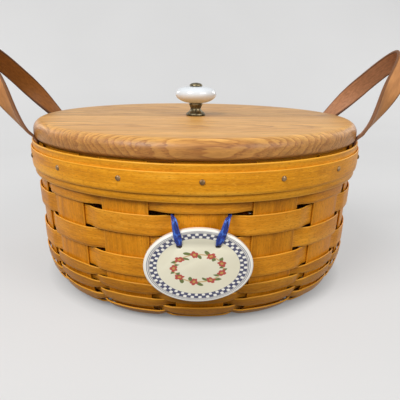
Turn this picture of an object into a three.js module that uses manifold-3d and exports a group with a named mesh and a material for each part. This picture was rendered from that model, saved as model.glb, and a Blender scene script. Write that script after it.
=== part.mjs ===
// Round darning basket: woven wood splints, a stepped wooden lid with a porcelain knob,
// two leather strap handles and an oval plaque tied on with ribbon.
// Millimetres, +Z up, the plaque towards -Y, the handles at -X and +X,
// and the origin at the middle of the base, on the floor.
import * as THREE from "three";
import { mergeVertices } from "three/addons/utils/BufferGeometryUtils.js";
import Module from "manifold-3d";

const wasm = await Module();
wasm.setup();

// Basket shape
const RIM_DIAMETER = 250;
const BASKET_HEIGHT = 105.2;
const WALL_LEAN = THREE.MathUtils.degToRad(3);
const BELLY_LEAN = THREE.MathUtils.degToRad(20);
const BELLY_RADIUS = 64;
const CORNER_RADIUS = 15;

// Splints and weavers
const UPRIGHTS = 16;
const SPLINT_THICKNESS = 1;
const SPLINT_HALF_ANGLE = THREE.MathUtils.degToRad(7.5);
const SPLINT_MIDDLE_WIDTH = 12;
const CROSSING_MARGIN = 2;
const LEVELLING_SHARE = 1.8;
const WEAVER_THICKNESS = 1;
const EDGE_ROOM = 1;
const NARROW_PITCH = 5;
const NARROW_WIDTH = 7.4;
const WIDE_ROWS = 4;
const BASE_ROWS = 3;
const ROW_GAP = 0.5;
const TIE_SLOT = 1.6;
const TOP_ROW_TUCK = 5.3;

// Rim
const BAND_WIDTH = 23;
const OUTER_BAND_THICKNESS = 1.3;
const INNER_BAND_THICKNESS = 1.8;
const INNER_BAND_RISE = 0.8;
const TRIM_WIDTH = 13.5;
const TRIM_THICKNESS = 0.9;
const TRIM_DROP = 4.4;
const RIM_SEGMENTS = 64;
const TACK_DROP = 5.6;
const TACK_HEAD_RADIUS = 1.7;
const TACK_HEAD_HEIGHT = 0.9;
const TACK_CROWN_RADIUS = 1.2;
const TACK_SHOULDER_HEIGHT = 0.7;
const TACK_SHANK_RADIUS = 0.7;
const TACK_SEGMENTS = 6;

// Lid
const LID_INSET = 2.8;
const LID_THICKNESS = 12.3;
const LID_TOP_ROUND = 7;
const LID_UNDER_ROUND = 2.5;
const LID_STEP_DEPTH = 4;
const LID_STEP_ROOM = 0.8;
const LID_BOARD_WIDTH = 54;
const LID_JOINT_OFFSET = -8;
const LID_SEGMENTS = 64;

// Knob
const KNOB_BASE_HEIGHT = 9.5;
const KNOB_FOOT_RADIUS = 7.7;
const KNOB_NECK_RADIUS = 4.7;
const KNOB_SEAT_RADIUS = 6;
const KNOB_RADIUS = 16;
const KNOB_HEIGHT = 12.5;
const KNOB_TOP_RADIUS = 6.5;
const SCREW_RADIUS = 2;
const SCREW_HEAD_RADIUS = 5;
const SCREW_HEAD_HEIGHT = 2.6;
const WASHER_RADIUS = 7;
const WASHER_THICKNESS = 1.2;
const NUT_ACROSS_CORNERS = 9.2;
const NUT_HEIGHT = 3.2;
const KNOB_SEGMENTS = 20;
const SCREW_SEGMENTS = 16;

// Knob outlines: radius, and share of the height
const PEDESTAL_OUTLINE = [
  [KNOB_FOOT_RADIUS, 0],
  [KNOB_FOOT_RADIUS, 0.18],
  [5.4, 0.36],
  [KNOB_NECK_RADIUS, 0.6],
  [KNOB_SEAT_RADIUS, 0.86],
  [KNOB_SEAT_RADIUS, 1],
];
const PORCELAIN_OUTLINE = [
  [KNOB_SEAT_RADIUS, 0],
  [11.5, 0.14],
  [15, 0.33],
  [KNOB_RADIUS, 0.54],
  [15, 0.75],
  [11.8, 0.92],
  [KNOB_TOP_RADIUS, 1],
];
const SCREW_HEAD_OUTLINE = [
  [SCREW_HEAD_RADIUS, 0],
  [4.7, 0.4],
  [3.3, 0.82],
  [0, 1],
];

// Leather handles
const STRAP_WIDTH = 15;
const STRAP_THICKNESS = 2.5;
const STRAP_FOLD_THICKNESS = 2;
const STRAP_END_THICKNESS = 1.2;
const STRAP_TAB_LENGTH = 18;
const STRAP_UPRIGHT = 3;
const STRAP_FOLD_OUT = 5.2;
const STRAP_FOLD_RISE = 6.8;
const STRAP_LEAN = THREE.MathUtils.degToRad(39);
const STRAP_STEPS = 12;
const STRAP_TWIST_RUN = 54;
const STRAP_THINNED_RUN = 8;
const STRAP_FOLD_STEPS = 3;
const STRAP_FOLD_GAP = 0.45;

// How each loop stands: its height, how far its top is set back, how straight its legs leave
// the rim, as a share of the height, and how wide its top is
const LEFT_LOOP = { height: 68, setBack: 3, leg: 0.06, crown: 28 };
const RIGHT_LOOP = { height: 68, setBack: 0, leg: 0.06, crown: 23 };

// Plaque and ribbon
const PLAQUE_WIDTH = 64.5;
const PLAQUE_HEIGHT = 46;
const PLAQUE_THICKNESS = 4.5;
const PLAQUE_EDGE = 0.8;
const PLAQUE_DROP = 5.6;
const PLAQUE_SHIFT = -1.5;
const PLAQUE_SEGMENTS = 36;
const HOLE_SPACING = 22.6;
const HOLE_RISE = 12.5;
const HOLE_RADIUS = 1.6;
const HOLE_SEGMENTS = 12;
const RIBBON_WIDTH = 4.2;
const RIBBON_THICKNESS = 0.5;
const RIBBON_GATHERED = 1;
const RIBBON_TOP_WIDTH = 3.4;
const RIBBON_NECK_WIDTH = 2.9;
const RIBBON_HOLE_WIDTH = 1.9;
const RIBBON_TOP_SHARE = 0.3;
const RIBBON_HALF_SHARE = 0.65;

// Fits
const CLEARANCE = 0.3;
const JOINT_GAP = 0.2;

const COLOURS = {
  splint: { color: 0xc68327, roughness: 0.5, metalness: 0 },
  weaver: { color: 0xd38f2f, roughness: 0.5, metalness: 0 },
  band: { color: 0xd08a2a, roughness: 0.45, metalness: 0 },
  lid: { color: 0xddb17b, roughness: 0.5, metalness: 0 },
  leather: { color: 0x97603a, roughness: 0.7, metalness: 0 },
  steel: { color: 0x96897c, roughness: 0.4, metalness: 0.9 },
  brass: { color: 0x4b3f2a, roughness: 0.4, metalness: 0.9 },
  porcelain: { color: 0xece8e2, roughness: 0.12, metalness: 0 },
  ceramic: { color: 0xefe6c9, roughness: 0.25, metalness: 0 },
  ribbon: { color: 0x264aa2, roughness: 0.4, metalness: 0 },
};

const basket = new THREE.Group();

function add(name, geometry, look) {
  const mesh = new THREE.Mesh(geometry, new THREE.MeshStandardMaterial(COLOURS[look]));
  mesh.name = name;
  basket.add(mesh);
}

// Solids

function signedVolume(points, triangles) {
  let sum = 0;
  for (const [a, b, c] of triangles) {
    sum += points[a].dot(new THREE.Vector3().crossVectors(points[b], points[c])) / 6;
  }
  return sum;
}

function closedMesh(points, triangles) {
  const outward = signedVolume(points, triangles) > 0;
  const index = triangles.flatMap(([a, b, c]) => (outward ? [a, b, c] : [a, c, b]));
  const geometry = new THREE.BufferGeometry();
  const flat = points.flatMap((p) => [p.x, p.y, p.z]);
  geometry.setAttribute("position", new THREE.Float32BufferAttribute(flat, 3));
  geometry.setIndex(index);
  return geometry;
}

// A solid through equal loops of points, closed into a ring or capped at its two ends.
// A loop runs along one face and back along the other, so that an end cap is a row of quads.
function loft(loops, ring) {
  const count = loops[0].length;
  const triangles = [];
  const quad = (a, b, c, d) => triangles.push([a, b, c], [a, c, d]);
  const spans = ring ? loops.length : loops.length - 1;
  for (let i = 0; i < spans; i += 1) {
    const here = i * count;
    const there = ((i + 1) % loops.length) * count;
    for (let k = 0; k < count; k += 1) {
      const next = (k + 1) % count;
      quad(here + k, here + next, there + next, there + k);
    }
  }
  if (!ring) {
    const end = (loops.length - 1) * count;
    for (let k = 0; k < count / 2 - 1; k += 1) {
      const far = count - 1 - k;
      quad(k, far, far - 1, k + 1);
      quad(end + k, end + k + 1, end + far - 1, end + far);
    }
  }
  return closedMesh(loops.flat(), triangles);
}

// Turned solids: the profile is a list of [radius, height] round the Z axis
function turned(profile, segments) {
  const outline = profile.map(([r, z]) => new THREE.Vector2(r, z));
  const geometry = new THREE.LatheGeometry(outline, segments);
  geometry.rotateX(Math.PI / 2);
  return welded(geometry);
}

function welded(geometry) {
  for (const name of ["normal", "uv"]) {
    geometry.deleteAttribute(name);
  }
  const merged = mergeVertices(geometry, 1e-4);
  const position = merged.getAttribute("position");
  const points = [];
  for (let i = 0; i < position.count; i += 1) {
    points.push(new THREE.Vector3().fromBufferAttribute(position, i));
  }
  const corners = Array.from(merged.index.array);
  const triangles = [];
  for (let i = 0; i < corners.length; i += 3) {
    const [a, b, c] = corners.slice(i, i + 3);
    if (a !== b && b !== c && c !== a) {
      triangles.push([a, b, c]);
    }
  }
  return closedMesh(points, triangles);
}

function solid(geometry) {
  const vertProperties = Float32Array.from(geometry.getAttribute("position").array);
  const triVerts = Uint32Array.from(geometry.index.array);
  return new wasm.Manifold(new wasm.Mesh({ numProp: 3, vertProperties, triVerts }));
}

function geometryOf(body) {
  const mesh = body.getMesh();
  const geometry = new THREE.BufferGeometry();
  geometry.setAttribute("position", new THREE.BufferAttribute(mesh.vertProperties, 3));
  geometry.setIndex(new THREE.BufferAttribute(mesh.triVerts, 1));
  return geometry;
}

function cut(geometry, tools) {
  let body = solid(geometry);
  for (const tool of tools) {
    body = body.subtract(solid(tool));
  }
  return geometryOf(body);
}

// The wall's middle surface: distance along it from the middle of the base
// to its radius, height and the angle of its slope above the floor

const weaveOffset = SPLINT_THICKNESS / 2 + CLEARANCE + WEAVER_THICKNESS / 2;
const weaveReach = weaveOffset + WEAVER_THICKNESS / 2;
const bandOffset = weaveReach + CLEARANCE + JOINT_GAP;
const trimOffset = bandOffset + OUTER_BAND_THICKNESS + CLEARANCE;
const innerBandOffset = weaveReach + CLEARANCE;
const rimRadius = RIM_DIAMETER / 2 - trimOffset - TRIM_THICKNESS;

const floorHeight = weaveReach;
const cornerTurn = Math.PI / 2 - BELLY_LEAN;
const bellyTurn = BELLY_LEAN - WALL_LEAN;
const cornerLength = CORNER_RADIUS * cornerTurn;
const bellyLength = BELLY_RADIUS * bellyTurn;
const bellyFoot = floorHeight + CORNER_RADIUS * (1 - Math.sin(BELLY_LEAN));
const wallFoot = bellyFoot + BELLY_RADIUS * (Math.sin(BELLY_LEAN) - Math.sin(WALL_LEAN));
const bellySpread = BELLY_RADIUS * (Math.cos(WALL_LEAN) - Math.cos(BELLY_LEAN));
const wallFootRadius = rimRadius - (BASKET_HEIGHT - wallFoot) * Math.tan(WALL_LEAN);
const bellyFootRadius = wallFootRadius - bellySpread;
const baseRadius = bellyFootRadius - CORNER_RADIUS * Math.cos(BELLY_LEAN);
const wallStart = baseRadius + cornerLength + bellyLength;

function onWall(s) {
  if (s <= baseRadius) {
    return { r: s, z: floorHeight, slope: 0, bend: 0 };
  }
  if (s <= baseRadius + cornerLength) {
    const slope = (s - baseRadius) / CORNER_RADIUS;
    const r = baseRadius + CORNER_RADIUS * Math.sin(slope);
    const z = floorHeight + CORNER_RADIUS * (1 - Math.cos(slope));
    return { r, z, slope, bend: 1 / CORNER_RADIUS };
  }
  if (s <= wallStart) {
    const slope = cornerTurn + (s - baseRadius - cornerLength) / BELLY_RADIUS;
    const r = bellyFootRadius + BELLY_RADIUS * (Math.sin(slope) - Math.sin(cornerTurn));
    const z = bellyFoot + BELLY_RADIUS * (Math.cos(cornerTurn) - Math.cos(slope));
    return { r, z, slope, bend: 1 / BELLY_RADIUS };
  }
  const along = s - wallStart;
  const slope = Math.PI / 2 - WALL_LEAN;
  const r = wallFootRadius + along * Math.sin(WALL_LEAN);
  return { r, z: wallFoot + along * Math.cos(WALL_LEAN), slope, bend: 0 };
}

const wallDistance = (z) => wallStart + (z - wallFoot) / Math.cos(WALL_LEAN);

// A point round the basket: angle 0 is the front, and turns towards +X
function around(angle, r, z) {
  return new THREE.Vector3(r * Math.sin(angle), -r * Math.cos(angle), z);
}

// A point beside the wall: distance along it, and distance out from its middle surface
function besideWall(angle, s, out) {
  const { r, z, slope } = onWall(s);
  return around(angle, r + out * Math.sin(slope), z - out * Math.cos(slope));
}

const uprightStep = (2 * Math.PI) / UPRIGHTS;
const uprightAngle = (i) => i * uprightStep;

// Long splints: each is two opposite uprights, joined across the base.
// In the middle of the base they lie on each other, one level above the next.

const splintTop = wallDistance(BASKET_HEIGHT);
const crossRadius = SPLINT_MIDDLE_WIDTH / 2 / Math.sin(uprightStep / 2) + CROSSING_MARGIN;
const levelRadius = crossRadius * LEVELLING_SHARE;
const levelRise = SPLINT_THICKNESS + CLEARANCE;
const tackHeight = BASKET_HEIGHT - TRIM_DROP - TACK_DROP;

function steps(from, to, count) {
  return Array.from({ length: count }, (_, i) => from + ((to - from) * i) / count);
}

function splintLoop(angle, s, rise, mirrored) {
  const half = SPLINT_HALF_ANGLE;
  const { r } = onWall(s);
  const middle = r * Math.sin(half) < SPLINT_MIDDLE_WIDTH / 2;
  const side = (turn, out) => {
    if (!middle || turn === 0) {
      return besideWall(angle + turn, s, out);
    }
    const point = besideWall(angle, s, out);
    const along = new THREE.Vector3(Math.sin(angle), -Math.cos(angle), 0);
    const across = new THREE.Vector3(Math.cos(angle), Math.sin(angle), 0);
    point.addScaledVector(along, r * (Math.cos(half) - 1));
    return point.addScaledVector(across, (Math.sign(turn) * SPLINT_MIDDLE_WIDTH) / 2);
  };
  const out = SPLINT_THICKNESS / 2;
  const turns = mirrored ? [half, 0, -half] : [-half, 0, half];
  const loop = turns.map((turn) => side(turn, out));
  loop.push(...turns.reverse().map((turn) => side(turn, -out)));
  loop.forEach((point) => point.setZ(point.z + rise));
  return loop;
}

function tackHole(angle) {
  const drill = new THREE.CylinderGeometry(
    TACK_SHANK_RADIUS + CLEARANCE,
    TACK_SHANK_RADIUS + CLEARANCE,
    rimRadius / 2,
    TACK_SEGMENTS,
  );
  drill.translate(0, rimRadius, 0);
  return placedRound(welded(drill), angle, tackHeight);
}

// Turns a piece made along +Y so that it points out from the basket at this angle and height
function placedRound(geometry, angle, z) {
  geometry.rotateZ(angle + Math.PI);
  geometry.translate(0, 0, z);
  return geometry;
}

function longSplint(j) {
  const wall = [
    splintTop,
    ...steps(wallStart, baseRadius + cornerLength, 3),
    ...steps(baseRadius + cornerLength, baseRadius, 5),
    baseRadius,
    levelRadius,
    crossRadius,
  ];
  const rise = (s) => (s <= crossRadius ? j * levelRise : 0);
  const near = wall.map((s) => splintLoop(uprightAngle(j), s, rise(s), false));
  const opposite = uprightAngle(j + UPRIGHTS / 2);
  const far = wall.map((s) => splintLoop(opposite, s, rise(s), true)).reverse();
  const holes = [tackHole(uprightAngle(j)), tackHole(opposite)];
  return cut(loft([...near, ...far], false), holes);
}

for (let j = 0; j < UPRIGHTS / 2; j += 1) {
  add(`upright_splint_${j + 1}`, longSplint(j), "splint");
}

// Weavers: closed rings that pass outside one upright and inside the next.
// A narrow weaver is drawn in where it crosses its neighbours between two uprights.

function weaver(row) {
  const { s, width, crossWidth, parity } = row;
  const edge = SPLINT_HALF_ANGLE + EDGE_ROOM / onWall(s).r;
  const bend = Math.max(...[-0.5, 0, 0.5].map((part) => onWall(s + part * width).bend));
  const inside = -(weaveOffset + (bend * width * width) / 8 + CLEARANCE * bend * CORNER_RADIUS);
  const quarter = edge + (uprightStep - 2 * edge) / 4;
  const loops = [];
  const section = (angle, out, across) => {
    const { slope } = onWall(s);
    const middle = besideWall(angle, s, out);
    const up = around(angle, Math.cos(slope), Math.sin(slope)).multiplyScalar(across / 2);
    const thick = around(angle, Math.sin(slope), -Math.cos(slope)).multiplyScalar(WEAVER_THICKNESS / 2);
    loops.push([
      middle.clone().add(thick).sub(up),
      middle.clone().add(thick).add(up),
      middle.clone().sub(thick).add(up),
      middle.clone().sub(thick).sub(up),
    ]);
  };
  for (let i = 0; i < UPRIGHTS; i += 1) {
    const outside = (i + parity) % 2 === 0;
    const out = outside ? weaveOffset : inside;
    const drawn = crossWidth < width;
    if (drawn) {
      section(uprightAngle(i) - quarter, out / 2, crossWidth);
    }
    section(uprightAngle(i) - edge, out, width);
    if (outside || !drawn) {
      section(uprightAngle(i), out, width);
    }
    section(uprightAngle(i) + edge, out, width);
    if (drawn) {
      section(uprightAngle(i) + quarter, out / 2, crossWidth);
    }
  }
  return loft(loops, true);
}

// Rows from the rim down: the wide ones share the wall between the narrow ones and the rim band,
// and the last ones share the base between the narrow ones and where the splints start to rise
function weaverRows() {
  const crossWidth = NARROW_PITCH - ROW_GAP;
  const cornerReach = 2 * Math.atan(NARROW_WIDTH / 2 / (CORNER_RADIUS + weaveReach));
  const firstCorner = baseRadius + CORNER_RADIUS * cornerReach + CLEARANCE;
  const cornerRows = Math.floor((wallStart - firstCorner) / NARROW_PITCH) + 1;
  const narrow = [];
  for (let i = cornerRows - 1; i >= 0; i -= 1) {
    narrow.push(firstCorner + i * NARROW_PITCH);
  }
  const baseEdge = baseRadius - CLEARANCE;
  narrow.push(baseEdge);
  const wideFoot = narrow[0] + NARROW_PITCH / 2;
  const wideHead = wallDistance(BASKET_HEIGHT - BAND_WIDTH + TOP_ROW_TUCK);
  const widePitch = (wideHead - wideFoot) / WIDE_ROWS;
  const rows = [];
  for (let i = 0; i < WIDE_ROWS; i += 1) {
    const trim = i === 0 ? TIE_SLOT - ROW_GAP : 0;
    const width = widePitch - ROW_GAP - trim;
    rows.push({ s: wideHead - (i + 0.5) * widePitch + trim / 2, width, crossWidth: width });
  }
  rows.push(...narrow.map((s) => ({ s, width: NARROW_WIDTH, crossWidth })));
  const baseHead = baseEdge - NARROW_PITCH / 2;
  const basePitch = (baseHead - levelRadius - ROW_GAP) / BASE_ROWS;
  for (let i = 0; i < BASE_ROWS; i += 1) {
    const width = basePitch - ROW_GAP;
    rows.push({ s: baseHead - (i + 0.5) * basePitch, width, crossWidth: width });
  }
  return rows.map((row, i) => ({ ...row, parity: i % 2 }));
}

const rows = weaverRows();
rows.forEach((row, i) => {
  add(`weaver_${String(i + 1).padStart(2, "0")}`, weaver(row), "weaver");
});

// Rim bands, trim strip and tacks

function ringBand(foot, head, inner, outer) {
  const loops = [];
  for (let i = 0; i < RIM_SEGMENTS; i += 1) {
    const angle = (i * 2 * Math.PI) / RIM_SEGMENTS;
    const corner = (z, out) => {
      const s = wallDistance(z);
      return around(angle, onWall(s).r + out / Math.cos(WALL_LEAN), z);
    };
    const outside = [corner(foot, outer), corner(head, outer)];
    const inside = [corner(head, inner), corner(foot, inner)];
    loops.push([...outside, ...inside]);
  }
  const holes = Array.from({ length: UPRIGHTS }, (_, i) => tackHole(uprightAngle(i)));
  return cut(loft(loops, true), holes);
}

const bandFoot = BASKET_HEIGHT - BAND_WIDTH;
const innerBandTop = BASKET_HEIGHT + INNER_BAND_RISE;
const innerBandFace = innerBandOffset + INNER_BAND_THICKNESS;
const outerBandFace = bandOffset + OUTER_BAND_THICKNESS;
const trimHead = BASKET_HEIGHT - TRIM_DROP;
const trimFace = trimOffset + TRIM_THICKNESS;
add("inner_rim_band", ringBand(bandFoot, innerBandTop, -innerBandFace, -innerBandOffset), "band");
add("outer_rim_band", ringBand(bandFoot, BASKET_HEIGHT, bandOffset, outerBandFace), "band");
add("trim_strip", ringBand(trimHead - TRIM_WIDTH, trimHead, trimOffset, trimFace), "band");

function rimTack(i) {
  const wallRadius = onWall(wallDistance(tackHeight)).r;
  const leaning = TACK_HEAD_RADIUS * Math.tan(WALL_LEAN);
  const head = wallRadius + trimFace / Math.cos(WALL_LEAN) + leaning + CLEARANCE / 2;
  const tip = wallRadius - innerBandFace / Math.cos(WALL_LEAN);
  const tack = turned(
    [
      [0, tip],
      [TACK_SHANK_RADIUS, tip],
      [TACK_SHANK_RADIUS, head],
      [TACK_HEAD_RADIUS, head],
      [TACK_CROWN_RADIUS, head + TACK_SHOULDER_HEIGHT],
      [0, head + TACK_HEAD_HEIGHT],
    ],
    TACK_SEGMENTS,
  );
  tack.rotateX(-Math.PI / 2);
  return placedRound(tack, uprightAngle(i), tackHeight);
}

for (let i = 0; i < UPRIGHTS; i += 1) {
  add(`rim_tack_${String(i + 1).padStart(2, "0")}`, rimTack(i), "steel");
}

// Lid: a turned disc with a step that fits inside the inner band, cut into glued boards

const lidRadius = RIM_DIAMETER / 2 - LID_INSET;
const lidFoot = innerBandTop + CLEARANCE;
const lidTop = lidFoot + LID_THICKNESS;
const lidStepFoot = lidFoot - LID_STEP_DEPTH;
const boltHole = SCREW_RADIUS + CLEARANCE;

function lidProfile() {
  const stepLevel = onWall(wallDistance(lidStepFoot)).r - innerBandFace / Math.cos(WALL_LEAN);
  const stepRadius = stepLevel - LID_STEP_ROOM;
  const arc = (centre, height, size, from, to) =>
    [0, 1, 2, 3].map((i) => {
      const turn = THREE.MathUtils.degToRad(from + ((to - from) * i) / 3);
      return [centre + size * Math.cos(turn), height + size * Math.sin(turn)];
    });
  return [
    [boltHole, lidStepFoot],
    [stepRadius, lidStepFoot],
    [stepRadius, lidFoot],
    ...arc(lidRadius - LID_UNDER_ROUND, lidFoot + LID_UNDER_ROUND, LID_UNDER_ROUND, -90, 0),
    ...arc(lidRadius - LID_TOP_ROUND, lidTop - LID_TOP_ROUND, LID_TOP_ROUND, 0, 90),
    [boltHole, lidTop],
    [boltHole, lidStepFoot],
  ];
}

function lidBoards() {
  const disc = solid(turned(lidProfile(), LID_SEGMENTS));
  const board = (from, to) => {
    const box = new THREE.BoxGeometry(lidRadius * 4, to - from, lidTop * 4);
    box.translate(0, (from + to) / 2, 0);
    return geometryOf(disc.intersect(solid(welded(box))));
  };
  const back = LID_JOINT_OFFSET + LID_BOARD_WIDTH;
  add("lid_board_front", board(-2 * lidRadius, LID_JOINT_OFFSET - JOINT_GAP / 2), "lid");
  add("lid_board_middle", board(LID_JOINT_OFFSET + JOINT_GAP / 2, back - JOINT_GAP / 2), "lid");
  add("lid_board_back", board(back + JOINT_GAP / 2, 2 * lidRadius), "lid");
}

lidBoards();

// Knob: pedestal, porcelain body and the screw that holds them to the lid

const knobFoot = lidTop + JOINT_GAP;
const knobSeat = knobFoot + KNOB_BASE_HEIGHT;
const porcelainFoot = knobSeat + JOINT_GAP;
const porcelainTop = porcelainFoot + KNOB_HEIGHT;
const washerTop = lidStepFoot - JOINT_GAP;
const nutTop = washerTop - WASHER_THICKNESS - JOINT_GAP;

function bored(profile, hole) {
  const [first, last] = [profile[0], profile[profile.length - 1]];
  return turned([[hole, first[1]], ...profile, [hole, last[1]], [hole, first[1]]], KNOB_SEGMENTS);
}

const outlineAt = (outline, foot, height) => outline.map(([r, share]) => [r, foot + height * share]);
const knobBase = outlineAt(PEDESTAL_OUTLINE, knobFoot, KNOB_BASE_HEIGHT);
const knobBody = outlineAt(PORCELAIN_OUTLINE, porcelainFoot, KNOB_HEIGHT);
add("knob_base", bored(knobBase, boltHole), "brass");
add("knob_body", bored(knobBody, boltHole), "porcelain");

const screwHead = porcelainTop + JOINT_GAP;
const screwTip = nutTop - NUT_HEIGHT - CLEARANCE;
const knobScrew = [
  [0, screwTip],
  [SCREW_RADIUS, screwTip],
  [SCREW_RADIUS, screwHead],
  ...outlineAt(SCREW_HEAD_OUTLINE, screwHead, SCREW_HEAD_HEIGHT),
];
add("knob_screw", turned(knobScrew, SCREW_SEGMENTS), "brass");

const washer = [
  [WASHER_RADIUS, washerTop - WASHER_THICKNESS],
  [WASHER_RADIUS, washerTop],
];
add("knob_washer", bored(washer, boltHole), "steel");

function knobNut() {
  const nutRadius = NUT_ACROSS_CORNERS / 2;
  const hexagon = new THREE.CylinderGeometry(nutRadius, nutRadius, NUT_HEIGHT, 6);
  hexagon.rotateX(Math.PI / 2);
  hexagon.translate(0, 0, nutTop - NUT_HEIGHT / 2);
  const bore = new THREE.CylinderGeometry(boltHole, boltHole, NUT_HEIGHT * 3, SCREW_SEGMENTS);
  bore.rotateX(Math.PI / 2);
  bore.translate(0, 0, nutTop - NUT_HEIGHT / 2);
  return cut(welded(hexagon), [welded(bore)]);
}

add("knob_nut", knobNut(), "steel");

// Leather handles: the two held ends come up between the uprights and the outer band
// and turn parallel to Y at the fold, and the loop above the fold twists to its crown

const strapAngle = uprightAngle(STRAP_UPRIGHT);
const strapOffset = SPLINT_THICKNESS / 2 + CLEARANCE + STRAP_END_THICKNESS / 2;
const strapSlot = besideWall(strapAngle, wallDistance(BASKET_HEIGHT), strapOffset);
const strapFold = new THREE.Vector3(
  strapSlot.x + STRAP_FOLD_OUT,
  strapSlot.y,
  strapSlot.z + STRAP_FOLD_RISE,
);
const loopUp = new THREE.Vector3(Math.sin(STRAP_LEAN), 0, Math.cos(STRAP_LEAN));
const loopOut = new THREE.Vector3(Math.cos(STRAP_LEAN), 0, -Math.sin(STRAP_LEAN));

function strapSection(centre, across, thick, width, thickness) {
  const side = across.clone().multiplyScalar(width / 2);
  const face = thick.clone().multiplyScalar(thickness / 2);
  return [
    centre.clone().add(face).sub(side),
    centre.clone().add(face).add(side),
    centre.clone().sub(face).add(side),
    centre.clone().sub(face).sub(side),
  ];
}

// One held end, at the front of the right handle
function strapTab() {
  const loops = [];
  const reach = STRAP_WIDTH / 2 / Math.hypot(strapSlot.x, strapSlot.y);
  const held = (z) => {
    const s = wallDistance(z);
    const face = (out, turn) => besideWall(strapAngle + turn, s, strapOffset + out);
    const half = STRAP_END_THICKNESS / 2;
    const turns = [-reach, 0, reach];
    const outside = turns.map((turn) => face(half, turn));
    const inside = turns.map((turn) => face(-half, turn)).reverse();
    return [...outside, ...inside];
  };
  loops.push(held(BASKET_HEIGHT - STRAP_TAB_LENGTH), held(BASKET_HEIGHT));
  const start = besideWall(strapAngle, wallDistance(BASKET_HEIGHT), strapOffset);
  const end = strapFold.clone().addScaledVector(loopUp, -STRAP_FOLD_GAP);
  for (let i = 1; i <= STRAP_FOLD_STEPS; i += 1) {
    const t = i / STRAP_FOLD_STEPS;
    const centre = start.clone().lerp(end, t);
    const turn = (strapAngle - Math.PI / 2) * (1 - t * t) + Math.PI / 2;
    const across = new THREE.Vector3(Math.cos(turn), Math.sin(turn), 0);
    const rising = end.clone().sub(start).normalize();
    const thick = new THREE.Vector3().crossVectors(across, rising).normalize();
    const thickness = THREE.MathUtils.lerp(STRAP_END_THICKNESS, STRAP_FOLD_THICKNESS, t);
    const [a, b, c, d] = strapSection(centre, across, thick, STRAP_WIDTH, thickness);
    loops.push([a, a.clone().lerp(b, 0.5), b, c, c.clone().lerp(d, 0.5), d]);
  }
  return loft(loops, false);
}

// A free loop, on the right side
function strapLoop({ height, setBack, leg, crown }) {
  const half = (side) => {
    const foot = side * strapFold.y;
    return new THREE.CubicBezierCurve(
      new THREE.Vector2(foot, STRAP_FOLD_GAP),
      new THREE.Vector2(foot, height * leg),
      new THREE.Vector2(setBack - side * crown, height),
      new THREE.Vector2(setBack, height),
    );
  };
  const front = half(1);
  const back = half(-1);
  const loops = [];
  for (let i = 0; i <= 2 * STRAP_STEPS; i += 1) {
    const behind = i > STRAP_STEPS;
    const curve = behind ? back : front;
    const share = behind ? 2 - i / STRAP_STEPS : i / STRAP_STEPS;
    const point = curve.getPointAt(share);
    const tangent = curve.getTangentAt(share).multiplyScalar(behind ? -1 : 1);
    const ahead = new THREE.Vector3(0, tangent.x, 0).addScaledVector(loopUp, tangent.y);
    const run = share * curve.getLength();
    const twist = (THREE.MathUtils.smoothstep(run, 0, STRAP_TWIST_RUN) * Math.PI) / 2;
    const across = new THREE.Vector3().crossVectors(ahead, loopOut).multiplyScalar(Math.cos(twist));
    across.addScaledVector(loopOut, Math.sin(twist));
    const thick = new THREE.Vector3().crossVectors(across, ahead);
    const centre = new THREE.Vector3(strapFold.x, point.x, strapFold.z);
    centre.addScaledVector(loopUp, point.y);
    const full = Math.min(1, run / STRAP_THINNED_RUN);
    const thickness = THREE.MathUtils.lerp(STRAP_FOLD_THICKNESS, STRAP_THICKNESS, full);
    loops.push(strapSection(centre, across, thick, STRAP_WIDTH, thickness));
  }
  return loft(loops, false);
}

// Mirrored copies for the back and for the left side
function mirrored(geometry, x, y) {
  const position = geometry.getAttribute("position");
  const points = [];
  for (let i = 0; i < position.count; i += 1) {
    const point = new THREE.Vector3().fromBufferAttribute(position, i);
    points.push(point.multiply(new THREE.Vector3(x, y, 1)));
  }
  const corners = Array.from(geometry.index.array);
  const triangles = [];
  for (let i = 0; i < corners.length; i += 3) {
    triangles.push(corners.slice(i, i + 3));
  }
  return closedMesh(points, triangles);
}

const strapHole = tackHole(strapAngle);
const rightFrontTab = cut(strapTab(), [strapHole]);
add("right_strap_tab_front", rightFrontTab, "leather");
add("right_strap_tab_back", mirrored(rightFrontTab, 1, -1), "leather");
add("left_strap_tab_front", mirrored(rightFrontTab, -1, 1), "leather");
add("left_strap_tab_back", mirrored(rightFrontTab, -1, -1), "leather");
add("right_handle_strap", strapLoop(RIGHT_LOOP), "leather");
add("left_handle_strap", mirrored(strapLoop(LEFT_LOOP), -1, 1), "leather");

// Plaque: an oval plate with two holes, hung against the front of the weave

const slotFoot = onWall(rows[1].s + rows[1].width / 2).z;
const slotHead = onWall(rows[0].s - rows[0].width / 2).z;
const slotHeight = (slotFoot + slotHead) / 2;
const slotDistance = wallDistance(slotHeight);
const plaqueTop = slotFoot - PLAQUE_DROP;
const plaqueMiddle = plaqueTop - PLAQUE_HEIGHT / 2;
const plaqueBack = onWall(wallDistance(plaqueTop)).r + weaveReach + 2 * CLEARANCE;
const plaqueFront = plaqueBack + PLAQUE_THICKNESS;

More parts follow.
